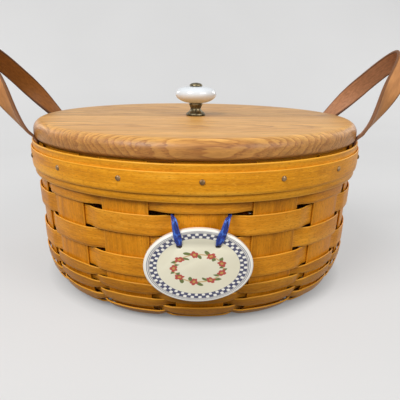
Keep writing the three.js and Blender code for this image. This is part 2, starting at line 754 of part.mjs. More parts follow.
function plaque() {
  const shape = new THREE.Shape();
  const wide = PLAQUE_WIDTH / 2 - PLAQUE_EDGE;
  shape.absellipse(0, 0, wide, PLAQUE_HEIGHT / 2 - PLAQUE_EDGE, 0, Math.PI * 2);
  const plate = new THREE.ExtrudeGeometry(shape, {
    depth: PLAQUE_THICKNESS - 2 * PLAQUE_EDGE,
    bevelThickness: PLAQUE_EDGE,
    bevelSize: PLAQUE_EDGE,
    bevelSegments: 1,
    curveSegments: PLAQUE_SEGMENTS / 2,
  });
  plate.translate(0, 0, PLAQUE_EDGE);
  const holes = [-1, 1].map((side) => {
    const drill = new THREE.CylinderGeometry(HOLE_RADIUS, HOLE_RADIUS, PLAQUE_THICKNESS * 4, HOLE_SEGMENTS);
    drill.rotateX(Math.PI / 2);
    drill.translate((side * HOLE_SPACING) / 2, HOLE_RISE, 0);
    return welded(drill);
  });
  const drilled = cut(welded(plate), holes);
  drilled.rotateX(Math.PI / 2);
  drilled.translate(PLAQUE_SHIFT, -plaqueBack, plaqueMiddle);
  return drilled;
}

add("plaque", plaque(), "ceramic");

// Ribbon: it runs in the slot behind the front upright, comes out on both sides,
// hangs in front of the plaque and goes through its holes

const ribbonTurn = SPLINT_HALF_ANGLE + (CLEARANCE + RIBBON_GATHERED) / onWall(slotDistance).r;
const ribbonExit = weaveReach + CLEARANCE;

function ribbonBack() {
  const loops = [];
  const half = RIBBON_GATHERED / 2;
  const section = (turn, out, across) => {
    const middle = besideWall(turn, slotDistance, out);
    const side = across.clone().multiplyScalar(half);
    const up = new THREE.Vector3(0, 0, half);
    loops.push([
      middle.clone().add(side).sub(up),
      middle.clone().add(side).add(up),
      middle.clone().sub(side).add(up),
      middle.clone().sub(side).sub(up),
    ]);
  };
  const behind = -(SPLINT_THICKNESS / 2 + CLEARANCE + half);
  const away = (side, inward) => {
    const turn = side * ribbonTurn;
    const sideways = new THREE.Vector3(Math.cos(turn), Math.sin(turn), 0).multiplyScalar(side);
    return sideways.addScaledVector(around(turn, 1, 0), -inward);
  };
  section(-ribbonTurn, ribbonExit, away(-1, 0));
  section(-ribbonTurn, behind, away(-1, 1));
  section(0, behind, around(0, -1, 0));
  section(ribbonTurn, behind, away(1, 1));
  section(ribbonTurn, ribbonExit, away(1, 0));
  return loft(loops, false);
}

function ribbonLeg(side) {
  const hung = ribbonExit + CLEARANCE + RIBBON_THICKNESS / 2;
  const start = besideWall(side * ribbonTurn, slotDistance, hung);
  const face = -plaqueFront - CLEARANCE - RIBBON_THICKNESS / 2;
  const holeX = PLAQUE_SHIFT + (side * HOLE_SPACING) / 2;
  const holeZ = plaqueMiddle + HOLE_RISE;
  const at = (t) => THREE.MathUtils.lerp(start.x, holeX, t);
  const route = [
    { point: start, width: RIBBON_GATHERED },
    { point: new THREE.Vector3(at(RIBBON_TOP_SHARE), face, plaqueTop + CLEARANCE), width: RIBBON_TOP_WIDTH },
    { point: new THREE.Vector3(at(RIBBON_HALF_SHARE), face, (plaqueTop + holeZ) / 2), width: RIBBON_WIDTH },
    { point: new THREE.Vector3(holeX, face, holeZ + HOLE_RADIUS), width: RIBBON_NECK_WIDTH },
    { point: new THREE.Vector3(holeX, face + HOLE_RADIUS / 2, holeZ), width: RIBBON_HOLE_WIDTH },
    { point: new THREE.Vector3(holeX, -plaqueBack, holeZ), width: RIBBON_HOLE_WIDTH },
  ];
  const across = new THREE.Vector3(1, 0, 0);
  const loops = route.map(({ point, width }, i) => {
    const before = route[Math.max(0, i - 1)].point;
    const after = route[Math.min(route.length - 1, i + 1)].point;
    const ahead = after.clone().sub(before).setX(0).normalize();
    const thick = new THREE.Vector3().crossVectors(across, ahead);
    return strapSection(point, across, thick, width, RIBBON_THICKNESS);
  });
  return loft(loops, false);
}

add("ribbon_left", ribbonLeg(-1), "ribbon");
add("ribbon_right", ribbonLeg(1), "ribbon");
add("ribbon_back", ribbonBack(), "ribbon");

export default basket;
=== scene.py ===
"""Darning basket: woven wood splints, a stepped lid with a porcelain knob, leather strap
handles and an oval ceramic plaque tied on with satin ribbon."""
from math import atan, atan2, cos, floor, pi, radians, sin, tan

import bmesh
import bpy
import numpy as np
from mathutils import Matrix, Vector


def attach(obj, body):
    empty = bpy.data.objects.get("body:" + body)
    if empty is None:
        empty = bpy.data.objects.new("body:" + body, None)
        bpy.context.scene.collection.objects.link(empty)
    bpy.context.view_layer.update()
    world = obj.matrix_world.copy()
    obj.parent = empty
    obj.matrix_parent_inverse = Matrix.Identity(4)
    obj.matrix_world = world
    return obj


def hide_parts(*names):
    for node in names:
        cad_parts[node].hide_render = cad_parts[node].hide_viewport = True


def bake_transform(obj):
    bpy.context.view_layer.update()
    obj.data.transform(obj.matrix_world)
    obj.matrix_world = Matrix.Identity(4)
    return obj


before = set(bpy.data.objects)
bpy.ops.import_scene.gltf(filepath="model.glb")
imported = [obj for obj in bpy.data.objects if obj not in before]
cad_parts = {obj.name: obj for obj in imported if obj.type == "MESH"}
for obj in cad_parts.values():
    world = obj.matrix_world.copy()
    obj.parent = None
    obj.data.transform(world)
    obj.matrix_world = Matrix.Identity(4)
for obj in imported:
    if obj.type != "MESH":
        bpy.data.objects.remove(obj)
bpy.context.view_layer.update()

MM = 0.001
TURN = 2 * pi
rng = np.random.default_rng(7)

# Basket shape, in millimetres
RIM_DIAMETER = 250
BASKET_HEIGHT = 105.2
WALL_LEAN = radians(3)
BELLY_LEAN = radians(20)
BELLY_RADIUS = 64
CORNER_RADIUS = 15

# Splints and weavers
UPRIGHTS = 16
SPLINT_THICKNESS = 1
SPLINT_HALF_ANGLE = radians(7.5)
SPLINT_MIDDLE_WIDTH = 12
CROSSING_MARGIN = 2
LEVELLING_SHARE = 1.8
WEAVER_THICKNESS = 1
EDGE_ROOM = 1
EDGE_SHARE = 0.42
NARROW_PITCH = 5
NARROW_WIDTH = 7.4
WIDE_ROWS = 4
BASE_ROWS = 3
ROW_GAP = 0.5
TIE_SLOT = 1.6
TOP_ROW_TUCK = 5.3
ROW_DRIFT = 0.16
WIDE_BOW = 0.45
NARROW_BOW = 0.7
# The narrow rows round the belly are darkened: painted shade on the lower weave
NARROW_ROW_SHADE = -4
# Each upright darkens over its last few millimetres at the top: painted shade in the gap under the lid
LID_GAP_SHADE_TONE = -5
LID_GAP_SHADE_RUN = 4
WEAVER_STEPS = 480
WIDE_COLUMNS = 7
NARROW_COLUMNS = 5
SPLINT_STEPS = 110
SPLINT_COLUMNS = 9

# How pale each long splint and each rim strip is
SPLINT_TONES = (0.76, -0.86, 0.9, 0.35, 0.94, -0.59, 0.83, 0.21)
# The inner band is darkened: painted shade under the lid
INNER_BAND_SHADE_TONE = -2.5
OUTER_BAND_TONE = -0.07
TRIM_TONE = 0.6

# Rim
BAND_WIDTH = 23
OUTER_BAND_THICKNESS = 1.3
INNER_BAND_THICKNESS = 1.8
INNER_BAND_RISE = 0.8
TRIM_WIDTH = 13.5
TRIM_THICKNESS = 0.9
TRIM_DROP = 4.4
TRIM_CROWN = 0.25
BAND_STEPS = 240
BAND_COLUMNS = 9
TACK_DROP = 5.6
TACK_HEAD_RADIUS = 1.7
TACK_HEAD_HEIGHT = 0.9
TACK_HEAD_RIM = 0.25
TACK_STEPS = 20
TACK_SHANK_RADIUS = 0.7

# Lid and knob
LID_INSET = 2.8
LID_THICKNESS = 12.3
LID_TOP_ROUND = 7
LID_UNDER_ROUND = 2.5
LID_STEP_DEPTH = 4
LID_STEP_ROOM = 0.8
LID_BOARD_WIDTH = 54
LID_JOINT_OFFSET = -8
LID_STEP_EASE = 0.6
LID_STEP_START = 30
LID_SHARP = 35
LID_STEPS = 180
GLUE_LINE = 0.12
KNOB_BASE_HEIGHT = 9.5
KNOB_HEIGHT = 12.5
KNOB_STEPS = 72
KNOB_SHARP = 40
SCREW_STEPS = 48
SCREW_RADIUS = 2
SCREW_TIP_RADIUS = 1.6
SCREW_TIP_EASE = 0.5
SCREW_HEAD_RADIUS = 5
SCREW_HEAD_HEIGHT = 2.6
SCREW_HEAD_EASE = 0.2
SCREW_HEAD_EDGE = 0.3
SCREW_HEAD_RIM = 0.6
WASHER_RADIUS = 7
WASHER_EASE = 0.3
WASHER_THICKNESS = 1.2
NUT_ACROSS_CORNERS = 9.2
NUT_HEIGHT = 3.2
NUT_EASE = 0.4
NUT_ROUND_SHARE = 1.06
NUT_SHARP = 25

# Leather handles
STRAP_WIDTH = 15
STRAP_THICKNESS = 2.5
STRAP_FOLD_THICKNESS = 2
STRAP_END_THICKNESS = 1.2
STRAP_TAB_LENGTH = 18
STRAP_UPRIGHT = 3
STRAP_FOLD_OUT = 5.2
STRAP_FOLD_RISE = 6.8
STRAP_LEAN = radians(39)
STRAP_TWIST_RUN = 54
STRAP_TWIST_LEAD = 4
STRAP_THINNED_RUN = 8
STRAP_EDGE_SHARE = 0.3
STRAP_COLUMNS = 9
STRAP_TAB_STEPS = 7
STRAP_FOLD_STEPS = 12
STRAP_LEG_STEPS = 60

# How each loop stands: height, set-back of its top, share of straight leg, and width of its top
LEFT_LOOP = (68, 3, 0.06, 28)
RIGHT_LOOP = (68, 0, 0.06, 23)

# How much each strap's inner face is darkened or lightened: painted shade on the left strap, painted light
# on the right
LEFT_INNER_SHADE = 0.8
RIGHT_INNER_LIGHT = 1.3

# Plaque and ribbon
PLAQUE_WIDTH = 64.5
PLAQUE_HEIGHT = 46
PLAQUE_THICKNESS = 4.5
PLAQUE_DROP = 5.6
PLAQUE_SHIFT = -1.5
HOLE_SPACING = 22.6
HOLE_RISE = 12.5
HOLE_RADIUS = 1.6
HOLE_FLARE = 0.5
PLAQUE_EASE = 1.1
PLAQUE_STEPS = 144
PLAQUE_SHARP = 40
RIBBON_WIDTH = 4.2
RIBBON_THICKNESS = 0.5
RIBBON_GATHERED = 1
RIBBON_EDGE_SHARE = 0.4
RIBBON_COLUMNS = 7
RIBBON_STEPS = 10
RIBBON_FOLD_DEPTH = 0.3
RIBBON_FOLDS = 3.5
RIBBON_FOLD_START = 1.2
RIBBON_FOLD_DRIFT = 0.5

CLEARANCE = 0.3
JOINT_GAP = 0.2

# Sizes that follow from these
weave_offset = SPLINT_THICKNESS / 2 + CLEARANCE + WEAVER_THICKNESS / 2
weave_reach = weave_offset + WEAVER_THICKNESS / 2
band_offset = weave_reach + CLEARANCE + JOINT_GAP
trim_offset = band_offset + OUTER_BAND_THICKNESS + CLEARANCE
inner_band_offset = weave_reach + CLEARANCE
rim_radius = RIM_DIAMETER / 2 - trim_offset - TRIM_THICKNESS
floor_height = weave_reach
corner_turn = pi / 2 - BELLY_LEAN
belly_turn = BELLY_LEAN - WALL_LEAN
corner_length = CORNER_RADIUS * corner_turn
belly_length = BELLY_RADIUS * belly_turn
belly_foot = floor_height + CORNER_RADIUS * (1 - sin(BELLY_LEAN))
wall_foot = belly_foot + BELLY_RADIUS * (sin(BELLY_LEAN) - sin(WALL_LEAN))
belly_spread = BELLY_RADIUS * (cos(WALL_LEAN) - cos(BELLY_LEAN))
wall_foot_radius = rim_radius - (BASKET_HEIGHT - wall_foot) * tan(WALL_LEAN)
base_radius = wall_foot_radius - belly_spread - CORNER_RADIUS * cos(BELLY_LEAN)
wall_start = base_radius + corner_length + belly_length
upright_step = TURN / UPRIGHTS
cross_radius = SPLINT_MIDDLE_WIDTH / 2 / sin(upright_step / 2) + CROSSING_MARGIN
level_radius = cross_radius * LEVELLING_SHARE
level_rise = SPLINT_THICKNESS + CLEARANCE


def wall(s):
    """Radius, height and slope of the wall's middle surface at a distance along it."""
    s = np.asarray(s, float)
    corner = np.clip((s - base_radius) / CORNER_RADIUS, 0, corner_turn)
    belly = np.clip((s - base_radius - corner_length) / BELLY_RADIUS, 0, belly_turn)
    slope = corner + belly
    straight = np.maximum(s - wall_start, 0)
    r = np.minimum(s, base_radius) + CORNER_RADIUS * np.sin(corner)
    r = r + BELLY_RADIUS * (np.sin(slope) - np.sin(corner)) + straight * sin(WALL_LEAN)
    z = floor_height + CORNER_RADIUS * (1 - np.cos(corner))
    z = z + BELLY_RADIUS * (np.cos(corner) - np.cos(slope)) + straight * cos(WALL_LEAN)
    return r, z, slope


def wall_distance(z):
    return wall_start + (z - wall_foot) / cos(WALL_LEAN)


def wall_radius(z):
    return float(wall(wall_distance(z))[0])


def around(angle, r, z):
    """A point round the basket: angle 0 is the front, and turns towards +X."""
    angle, r, z = np.broadcast_arrays(angle, r, z)
    return np.stack([r * np.sin(angle), -r * np.cos(angle), z], axis=-1)


def beside_wall(angle, s, out):
    r, z, slope = wall(s)
    return around(angle, r + out * np.sin(slope), z - out * np.cos(slope))


def smoothstep(value, start, end):
    t = np.clip((value - start) / (end - start), 0, 1)
    return t * t * (3 - 2 * t)


# Meshes


def add(name, data):
    obj = bpy.data.objects.new(name, data)
    bpy.context.scene.collection.objects.link(obj)
    return obj


def piece(name, points, faces, uv=None, layers=None, weld=False, sharp=50):
    mesh = bpy.data.meshes.new(name)
    mesh.from_pydata((np.reshape(points, (-1, 3)) * MM).tolist(), [], faces)
    if uv is not None:
        mesh.uv_layers.new(name="UVMap").uv.foreach_set("vector", np.ravel(uv))
    for key, values in (layers or {}).items():
        spread = np.broadcast_to(values, np.shape(points)[:2])
        mesh.attributes.new(key, "FLOAT", "POINT").data.foreach_set("value", np.ravel(spread))
    shape = bmesh.new()
    shape.from_mesh(mesh)
    if weld:
        bmesh.ops.remove_doubles(shape, verts=shape.verts, dist=1e-6)
    bmesh.ops.recalc_face_normals(shape, faces=shape.faces)
    shape.to_mesh(mesh)
    shape.free()
    mesh.shade_smooth()
    mesh.set_sharp_from_angle(angle=radians(sharp))
    return add(name, mesh)


def place(obj, body, nodes, material):
    obj.data.materials.append(material)
    if body:
        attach(obj, body)
    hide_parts(*nodes)


def loft_faces(rows, columns, ring, wrap=True):
    spans = rows if ring else rows - 1
    steps = columns if wrap else columns - 1
    i = np.repeat(np.arange(spans), steps)
    j = np.tile(np.arange(steps), spans)
    here, there = i * columns, ((i + 1) % rows) * columns
    following = (j + 1) % columns
    faces = np.stack([here + j, here + following, there + following, there + j], axis=1)
    return faces.tolist(), i, j


def loft(name, points, along, across, ring, layers=None, shift=(0, 0)):
    """A solid through rows of points. along and across are its surface coordinates."""
    along, across = along * MM + shift[0], across * MM + shift[1]
    rows, columns = points.shape[:2]
    faces, i, j = loft_faces(rows, columns, ring)
    u = np.stack([along[i], along[i], along[i + 1], along[i + 1]], axis=1)
    v = np.stack([across[j], across[j + 1], across[j + 1], across[j]], axis=1)
    uv = np.stack([u, v], axis=2).reshape(-1, 2)
    if not ring:
        end = (rows - 1) * columns
        faces.append(list(range(columns)))
        faces.append(list(range(end, end + columns)))
        caps = [[along[k], across[j]] for k in (0, rows - 1) for j in range(columns)]
        uv = np.concatenate([uv, np.array(caps)])
    return piece(name, points, faces, uv, layers)


def turned(name, profile, segments, closed, sharp=50):
    """A solid turned round the Z axis. A profile that isn't closed starts and ends on the axis."""
    angle = np.arange(segments) * TURN / segments
    outline = np.array(profile, float)
    points = around(angle[:, None], outline[None, :, 0], outline[None, :, 1])
    faces, _, _ = loft_faces(segments, len(profile), True, wrap=closed)
    return piece(name, points, faces, weld=True, sharp=sharp)


def arc(centre, height, size, start, end, count):
    """Points of a round between two angles in degrees."""
    turns = np.radians(np.linspace(start, end, count))
    return [(centre + size * cos(t), height + size * sin(t)) for t in turns]


def strip_section(columns, thickness, edge):
    """Outline of a strip: share of the half width, reach past the share, and height."""
    half = thickness / 2
    outline = []
    for face in (1, -1):
        outline += [(face * share, 0, face * half) for share in np.linspace(-1, 1, columns)]
        for turn in (0.25 * pi, 0, -0.25 * pi):
            height = np.sign(turn) * (half - edge) + edge * sin(turn)
            outline.append((face, face * edge * cos(turn), face * height))
    return np.array(outline).T


def run_along(line):
    """Distance travelled along a line of points."""
    return np.concatenate([[0], np.cumsum(np.linalg.norm(np.diff(line, axis=0), axis=1))])


def section_lengths(share, reach, height, width, edge):
    """Distance round a strip's outline, back to its first point."""
    outline = np.stack([share * (width / 2 - edge) + reach, height], axis=1)
    return run_along(np.vstack([outline, outline[:1]]))


def round_angles(count):
    """Angles round the basket, from its back."""
    return pi + np.arange(count) * TURN / count


def ring_strip(name, s, out, width, thickness, columns, tone, spread=0, crown=0):
    """A closed strip round the basket. s, out and width have one value for each step round."""
    count = len(out)
    edge = EDGE_SHARE * thickness
    share, reach, height = strip_section(columns, thickness, edge)
    angle = round_angles(count)
    r, z, slope = (value[:, None] for value in wall(s))
    across = share * (width[:, None] / 2 - edge) + reach
    rise = out[:, None] + height + crown * (1 - share**2) * (height > 0)
    radius = r + rise * np.sin(slope) + across * np.cos(slope)
    points = around(angle[:, None], radius, z - rise * np.cos(slope) + across * np.sin(slope))
    girth = np.arange(count + 1) * TURN / count * float(r.mean())
    lengths = section_lengths(share, reach, height, float(width.mean()), edge)
    shift = rng.uniform(0, 3, 2)
    layers = {"tone": tone + spread * rng.uniform(-1, 1), "edge": np.abs(share)}
    return loft(name, points, girth, lengths, True, layers, shift)


# Materials

# Where most of a noise's values lie
NOISE_LOW = 0.3
NOISE_HIGH = 0.7

# How much one step of tone lightens a splint
TONE_STEP = 0.09

# Growth rings of the lid's boards, how far they stray, in metres, and how they lean along a board
RINGS_PER_METRE = 390.0
RING_WANDER = 0.02
RING_RIPPLE = 0.0045
RING_YEARS = 0.011
PITH_LEAN = 0.05


class Value:
    """What a node gives. Sums and products of it add nodes beside it."""

    def __init__(self, look, socket):
        self.look = look
        self.socket = socket

    def __add__(self, other):
        return self.look.math("ADD", self, other)

    def __sub__(self, other):
        return self.look.math("SUBTRACT", self, other)

    def __mul__(self, other):
        return self.look.math("MULTIPLY", self, other)

    def __truediv__(self, other):
        return self.look.math("DIVIDE", self, other)


class Look:
    """The nodes of a material or a world, and short ways to add to them."""

    def __init__(self, name, strip=False, world=False, **constants):
        self.owner = bpy.data.worlds.new(name) if world else bpy.data.materials.new(name)
        self.owner.use_nodes = True
        self.tree = self.owner.node_tree
        self.shader = self.tree.nodes["Background" if world else "Principled BSDF"]
        for key, value in constants.items():
            self.set(key.replace("_", " "), value)
        if strip:
            self.where = self.node("UVMap", {}, uv_map="UVMap")
        else:
            self.where = self.node("TexCoord", {}, "Object")

    def set(self, key, value):
        self.feed(self.shader.inputs[key], value)

    def feed(self, socket, value):
        if isinstance(value, Value):
            self.tree.links.new(value.socket, socket)
        else:
            socket.default_value = value

    def node(self, kind, values, output=0, **settings):
        made = self.tree.nodes.new("ShaderNode" + kind)
        for key, value in settings.items():
            setattr(made, key, value)
        for key, value in values.items():
            self.feed(made.inputs[key], value)
        return Value(self, made.outputs[output])

    def math(self, operation, a, b=0.0):
        return self.node("Math", {0: a, 1: b}, operation=operation)

    def vector(self, operation, a, b):
        return self.node("VectorMath", {0: a, 1: b}, operation=operation)

    def length(self, vector):
        return self.node("VectorMath", {0: vector}, "Value", operation="LENGTH")

    def part(self, vector, axis):
        return self.node("SeparateXYZ", {0: vector}, axis)

    def join(self, x, y, z=0.0):
        return self.node("CombineXYZ", {0: x, 1: y, 2: z})

    def attribute(self, name, output="Fac"):
        return self.node("Attribute", {}, output, attribute_name=name)

    def noise(self, stretch, detail=4.0, rough=0.55, distortion=0.0, where=None):
        scaled = self.vector("MULTIPLY", where or self.where, stretch)
        values = {"Vector": scaled, "Scale": 1.0, "Detail": detail}
        values.update({"Roughness": rough, "Distortion": distortion})
        return self.node("TexNoise", values, "Fac")

    def span(self, value, low, high, start=0.0, end=1.0):
        values = {0: value, 1: low, 2: high, 3: start, 4: end}
        return self.node("MapRange", values, clamp=True)

    def spread(self, noise, start, end):
        return self.span(noise, NOISE_LOW, NOISE_HIGH, start, end)

    def ramp(self, value, *stops):
        made = self.node("ValToRGB", {0: value})
        elements = made.socket.node.color_ramp.elements
        while len(elements) < len(stops):
            elements.new(0.5)
        for element, (position, colour) in zip(elements, stops):
            element.position = position
            element.color = (*colour, 1)
        return made

    def mix(self, share, a, b, blend="MIX"):
        a, b = ((*value, 1) if isinstance(value, tuple) else value for value in (a, b))
        return self.node("Mix", {0: share, 6: a, 7: b}, 2, data_type="RGBA", blend_type=blend)

    def shade(self, colour, value, saturation=1.0):
        values = {"Color": colour, "Saturation": saturation, "Value": value}
        return self.node("HueSaturation", values)

    def bump(self, height, distance, strength):
        values = {"Height": height, "Distance": distance, "Strength": strength}
        self.set("Normal", self.node("Bump", values))

    def paint(self, colour, roughness):
        self.set("Base Color", colour)
        self.set("Roughness", roughness)
        return self.owner


def splint_wood(name, deep, middle, pale):
    """Stained, varnished splint: long fibres, flecks, mottling, slow colour drift, edges darkened partly
    by wear and partly as painted shade, and a painted highlight on the very edge.
    """
    look = Look(name, True, Coat_Weight=0.1, Coat_Roughness=0.22, Specular_IOR_Level=0.15)
    drift = look.noise((7, 60, 1), 3.0, 0.5, 0.6)
    streaks = look.noise((18, 520, 1), 5.0, 0.6, 0.4)
    mottle = look.noise((75, 190, 1), 3.0, 0.55, 0.5)
    fibres = look.noise((110, 3000, 1), 3.0, 0.6)
    flecks = look.noise((430, 1500, 1), 2.0, 0.5)
    glints = look.noise((300, 1150, 1), 2.0, 0.5)
    grain = drift * 0.5 + streaks * 0.3 + mottle * 0.2
    colour = look.ramp(grain, (0.36, deep), (0.5, middle), (0.65, pale))
    colour = look.mix(look.span(flecks, 0.53, 0.68, 0.0, 0.65), colour, deep)
    colour = look.mix(look.span(glints, 0.56, 0.72, 0.0, 0.5), colour, pale)
    toned = look.attribute("tone") * TONE_STEP + look.spread(fibres, 0.86, 1.12)
    edge = look.attribute("edge")
    # Darker towards the edges: partly wear, partly painted shade between the strips
    colour = look.shade(colour, toned * look.span(edge, 0.8, 0.95, 1.0, 0.84))
    # A thin pale line along the very edge: painted highlight
    colour = look.mix(look.span(edge, 0.96, 1.0, 0.0, 0.6), colour, pale)
    look.bump(streaks * 0.3 + fibres * 0.4 - flecks * 0.3, 0.0002, 0.4)
    return look.paint(colour, look.spread(streaks, 0.36, 0.54))


def lid_wood(name):
    """Flat-sawn boards: growth rings round a tilted pith, pores, and an edge darker than the top, partly
    stain in the end grain and partly painted shade.
    """
    look = Look(name, Specular_IOR_Level=0.4, Coat_Weight=0.08, Coat_Roughness=0.3)
    look.where = look.vector("ADD", look.where, look.attribute("pith", "Vector"))
    along, aside, deep = (look.part(look.where, axis) for axis in range(3))
    wander = look.noise((2.6, 24, 24), 2.0, 0.4)
    ripple = look.noise((24, 120, 120), 3.0, 0.6)
    radius = look.length(look.join(0.0, aside, deep + along * PITH_LEAN))
    years = look.noise((150, 1, 1), 2.0, where=look.join(radius, 0.0))
    strayed = wander * RING_WANDER + ripple * RING_RIPPLE + years * RING_YEARS
    ring = look.math("FRACT", (radius + strayed) * RINGS_PER_METRE)
    late = look.math("POWER", ring, 2.0) * look.span(ring, 0.92, 1.0, 1.0, 0.0)
    pores = look.noise((85, 1900, 1900), 3.0, 0.6)
    threads = look.noise((9, 620, 620), 4.0, 0.6)
    streaks = look.noise((5, 170, 170), 4.0, 0.65)
    drift = look.noise((5, 34, 34), 3.0)
    colour = look.ramp(drift, (0.3, (0.65, 0.325, 0.077)), (0.7, (0.81, 0.45, 0.128)))
    colour = look.mix(late * 0.76, colour, (0.38, 0.14, 0.030))
    open_pores = look.span(pores, 0.5, 0.66, 0.0, 0.75) * (late * 0.7 + 0.3)
    colour = look.mix(open_pores, colour, (0.19, 0.07, 0.016))
    toned = look.span(look.attribute("tone"), -1.0, 1.0, 0.84, 1.1)
    toned = toned * look.spread(threads, 0.8, 1.14) * look.spread(streaks, 0.86, 1.1)
    level = look.math("ABSOLUTE", look.part(look.node("NewGeometry", {}, "Normal"), 2))
    # Where the surface stands upright the lid is darker than its top: partly end-grain stain, partly
    # painted shade
    edge_stain_and_shade = look.span(level, 0.45, 0.95, 1.0, 0.0)
    colour = look.mix(edge_stain_and_shade, look.shade(colour, toned), (0.68, 0.58, 0.49), "MULTIPLY")
    look.bump(pores * 0.5 - late, 0.0002, 0.35)
    return look.paint(colour, look.spread(pores, 0.36, 0.54))


def strap_leather(name):
    """Tan grain on the outer face, a darker inner face, burnished edges; painted light and shade make the
    inner face lighter on one strap than the other.
    """
    look = Look(name, True, Specular_IOR_Level=0.28)
    mottle = look.noise((60, 160, 1), 4.0)
    pebbles = look.node("TexVoronoi", {"Vector": look.where, "Scale": 1500.0}, "Distance")
    creases = look.noise((240, 700, 1), 4.0, 0.65)
    outer = look.ramp(mottle, (0.34, (0.40, 0.163, 0.047)), (0.66, (0.57, 0.25, 0.082)))
    inner = look.ramp(creases, (0.3, (0.28, 0.102, 0.025)), (0.7, (0.40, 0.152, 0.040)))
    # Each strap's inner face is scaled by painted light: darker on the left, lighter on the right
    inner_face_light = look.attribute("inner_face_light")
    inner = look.shade(inner, inner_face_light, look.span(inner_face_light, LEFT_INNER_SHADE, RIGHT_INNER_LIGHT, 1.05, 0.86))
    outside = look.span(look.attribute("face"), -0.3, 0.3)
    colour = look.mix(outside, inner, outer)
    rim = look.span(look.attribute("edge"), 0.9, 1.0, 0.0, 0.75)
    colour = look.mix(rim, colour, (0.085, 0.03, 0.011))
    colour = look.shade(colour, look.spread(creases, 0.93, 1.06))
    look.bump(pebbles * 0.5 + creases, 0.0003, 0.4)
    return look.paint(colour, look.spread(mottle, 0.45, 0.62))


def metal(name, bright, tarnish, roughness):
    """Metal with tarnish in patches and fine scratches."""
    look = Look(name, Metallic=1.0)
    patches = look.noise((260, 260, 260), 4.0)
    scratches = look.noise((900, 900, 5200), 2.0)
    colour = look.ramp(patches, (0.4, tarnish), (0.62, bright))
    look.bump(scratches, 0.00008, 0.35)
    return look.paint(colour, look.span(patches, 0.35, 0.65, roughness + 0.14, roughness - 0.08))


def porcelain(name):
    """White glaze with a faint drift of colour and a soft ripple."""
    look = Look(name, Specular_IOR_Level=0.55, Coat_Weight=0.4, Coat_Roughness=0.04)
    drift = look.noise((90, 90, 90), 2.0)
    specks = look.noise((1800, 1800, 1800), 2.0)
    colour = look.ramp(drift, (0.35, (0.69, 0.73, 0.76)), (0.65, (0.735, 0.775, 0.815)))
    colour = look.mix(look.span(specks, 0.7, 0.78, 0.0, 0.25), colour, (0.5, 0.44, 0.36))
    look.bump(drift, 0.0004, 0.12)
    return look.paint(colour, look.spread(drift, 0.1, 0.18))


def satin(name):
    """Woven satin: fine threads along the ribbon, crinkles coloured dark to light as painted shade and
    painted highlights, and a bright sheen.
    """
    look = Look(name, True, Sheen_Weight=0.1, Sheen_Roughness=0.3, Specular_IOR_Level=0.5)
    threads = look.noise((500, 9000, 1), 2.0)
    crinkles = look.noise((260, 620, 1), 3.0, 0.6, 0.8)
    # The crinkles run from dark to pale blue: painted shade in the folds, painted highlights on the crests
    deep, middle, pale = (0.002, 0.006, 0.08), (0.008, 0.032, 0.27), (0.06, 0.19, 0.68)
    colour = look.ramp(crinkles, (0.36, deep), (0.5, middle), (0.64, pale))
    colour = look.shade(colour, look.spread(threads, 0.86, 1.12))
    look.bump(threads * 0.15 + crinkles, 0.0009, 0.8)
    return look.paint(colour, look.spread(threads, 0.24, 0.36))


# Weave

WEAVER_WOOD = splint_wood("weaver_maple", (0.46, 0.156, 0.006), (0.705, 0.263, 0.010), (0.87, 0.39, 0.034))
UPRIGHT_WOOD = splint_wood("splint_maple", (0.46, 0.156, 0.003), (0.66, 0.238, 0.006), (0.80, 0.32, 0.015))
BAND_WOOD = splint_wood("band_maple", (0.54, 0.190, 0.006), (0.79, 0.315, 0.010), (0.94, 0.45, 0.037))


def weaver_rows():
    """The rows from the rim down, spaced as the solids are."""
    corner_reach = 2 * atan(NARROW_WIDTH / 2 / (CORNER_RADIUS + weave_reach))
    first_corner = base_radius + CORNER_RADIUS * corner_reach + CLEARANCE
    corner_rows = floor((wall_start - first_corner) / NARROW_PITCH) + 1
    narrow = [first_corner + i * NARROW_PITCH for i in reversed(range(corner_rows))]
    base_edge = base_radius - CLEARANCE
    narrow.append(base_edge)
    wide_foot = narrow[0] + NARROW_PITCH / 2
    wide_head = wall_distance(BASKET_HEIGHT - BAND_WIDTH + TOP_ROW_TUCK)
    pitch = (wide_head - wide_foot) / WIDE_ROWS
    rows = []
    for i in range(WIDE_ROWS):
        trim = TIE_SLOT - ROW_GAP if i == 0 else 0
        rows.append((wide_head - (i + 0.5) * pitch + trim / 2, pitch - ROW_GAP - trim, False))
    rows += [(s, NARROW_WIDTH, True) for s in narrow]
    base_head = base_edge - NARROW_PITCH / 2
    base_pitch = (base_head - level_radius - ROW_GAP) / BASE_ROWS
    for i in range(BASE_ROWS):
        rows.append((base_head - (i + 0.5) * base_pitch, base_pitch - ROW_GAP, False))
    return rows


def wall_bend(s):
    if s <= base_radius or s >= wall_start:
        return 0
    return 1 / CORNER_RADIUS if s <= base_radius + corner_length else 1 / BELLY_RADIUS


def slow_waves(angle, size):
    """A smooth closed drift round the basket."""
    total = np.zeros_like(angle)
    for count in (3, 5, 8):
        total += rng.uniform(-1, 1) * np.sin(count * angle + rng.uniform(0, TURN))
    return size * total / 2


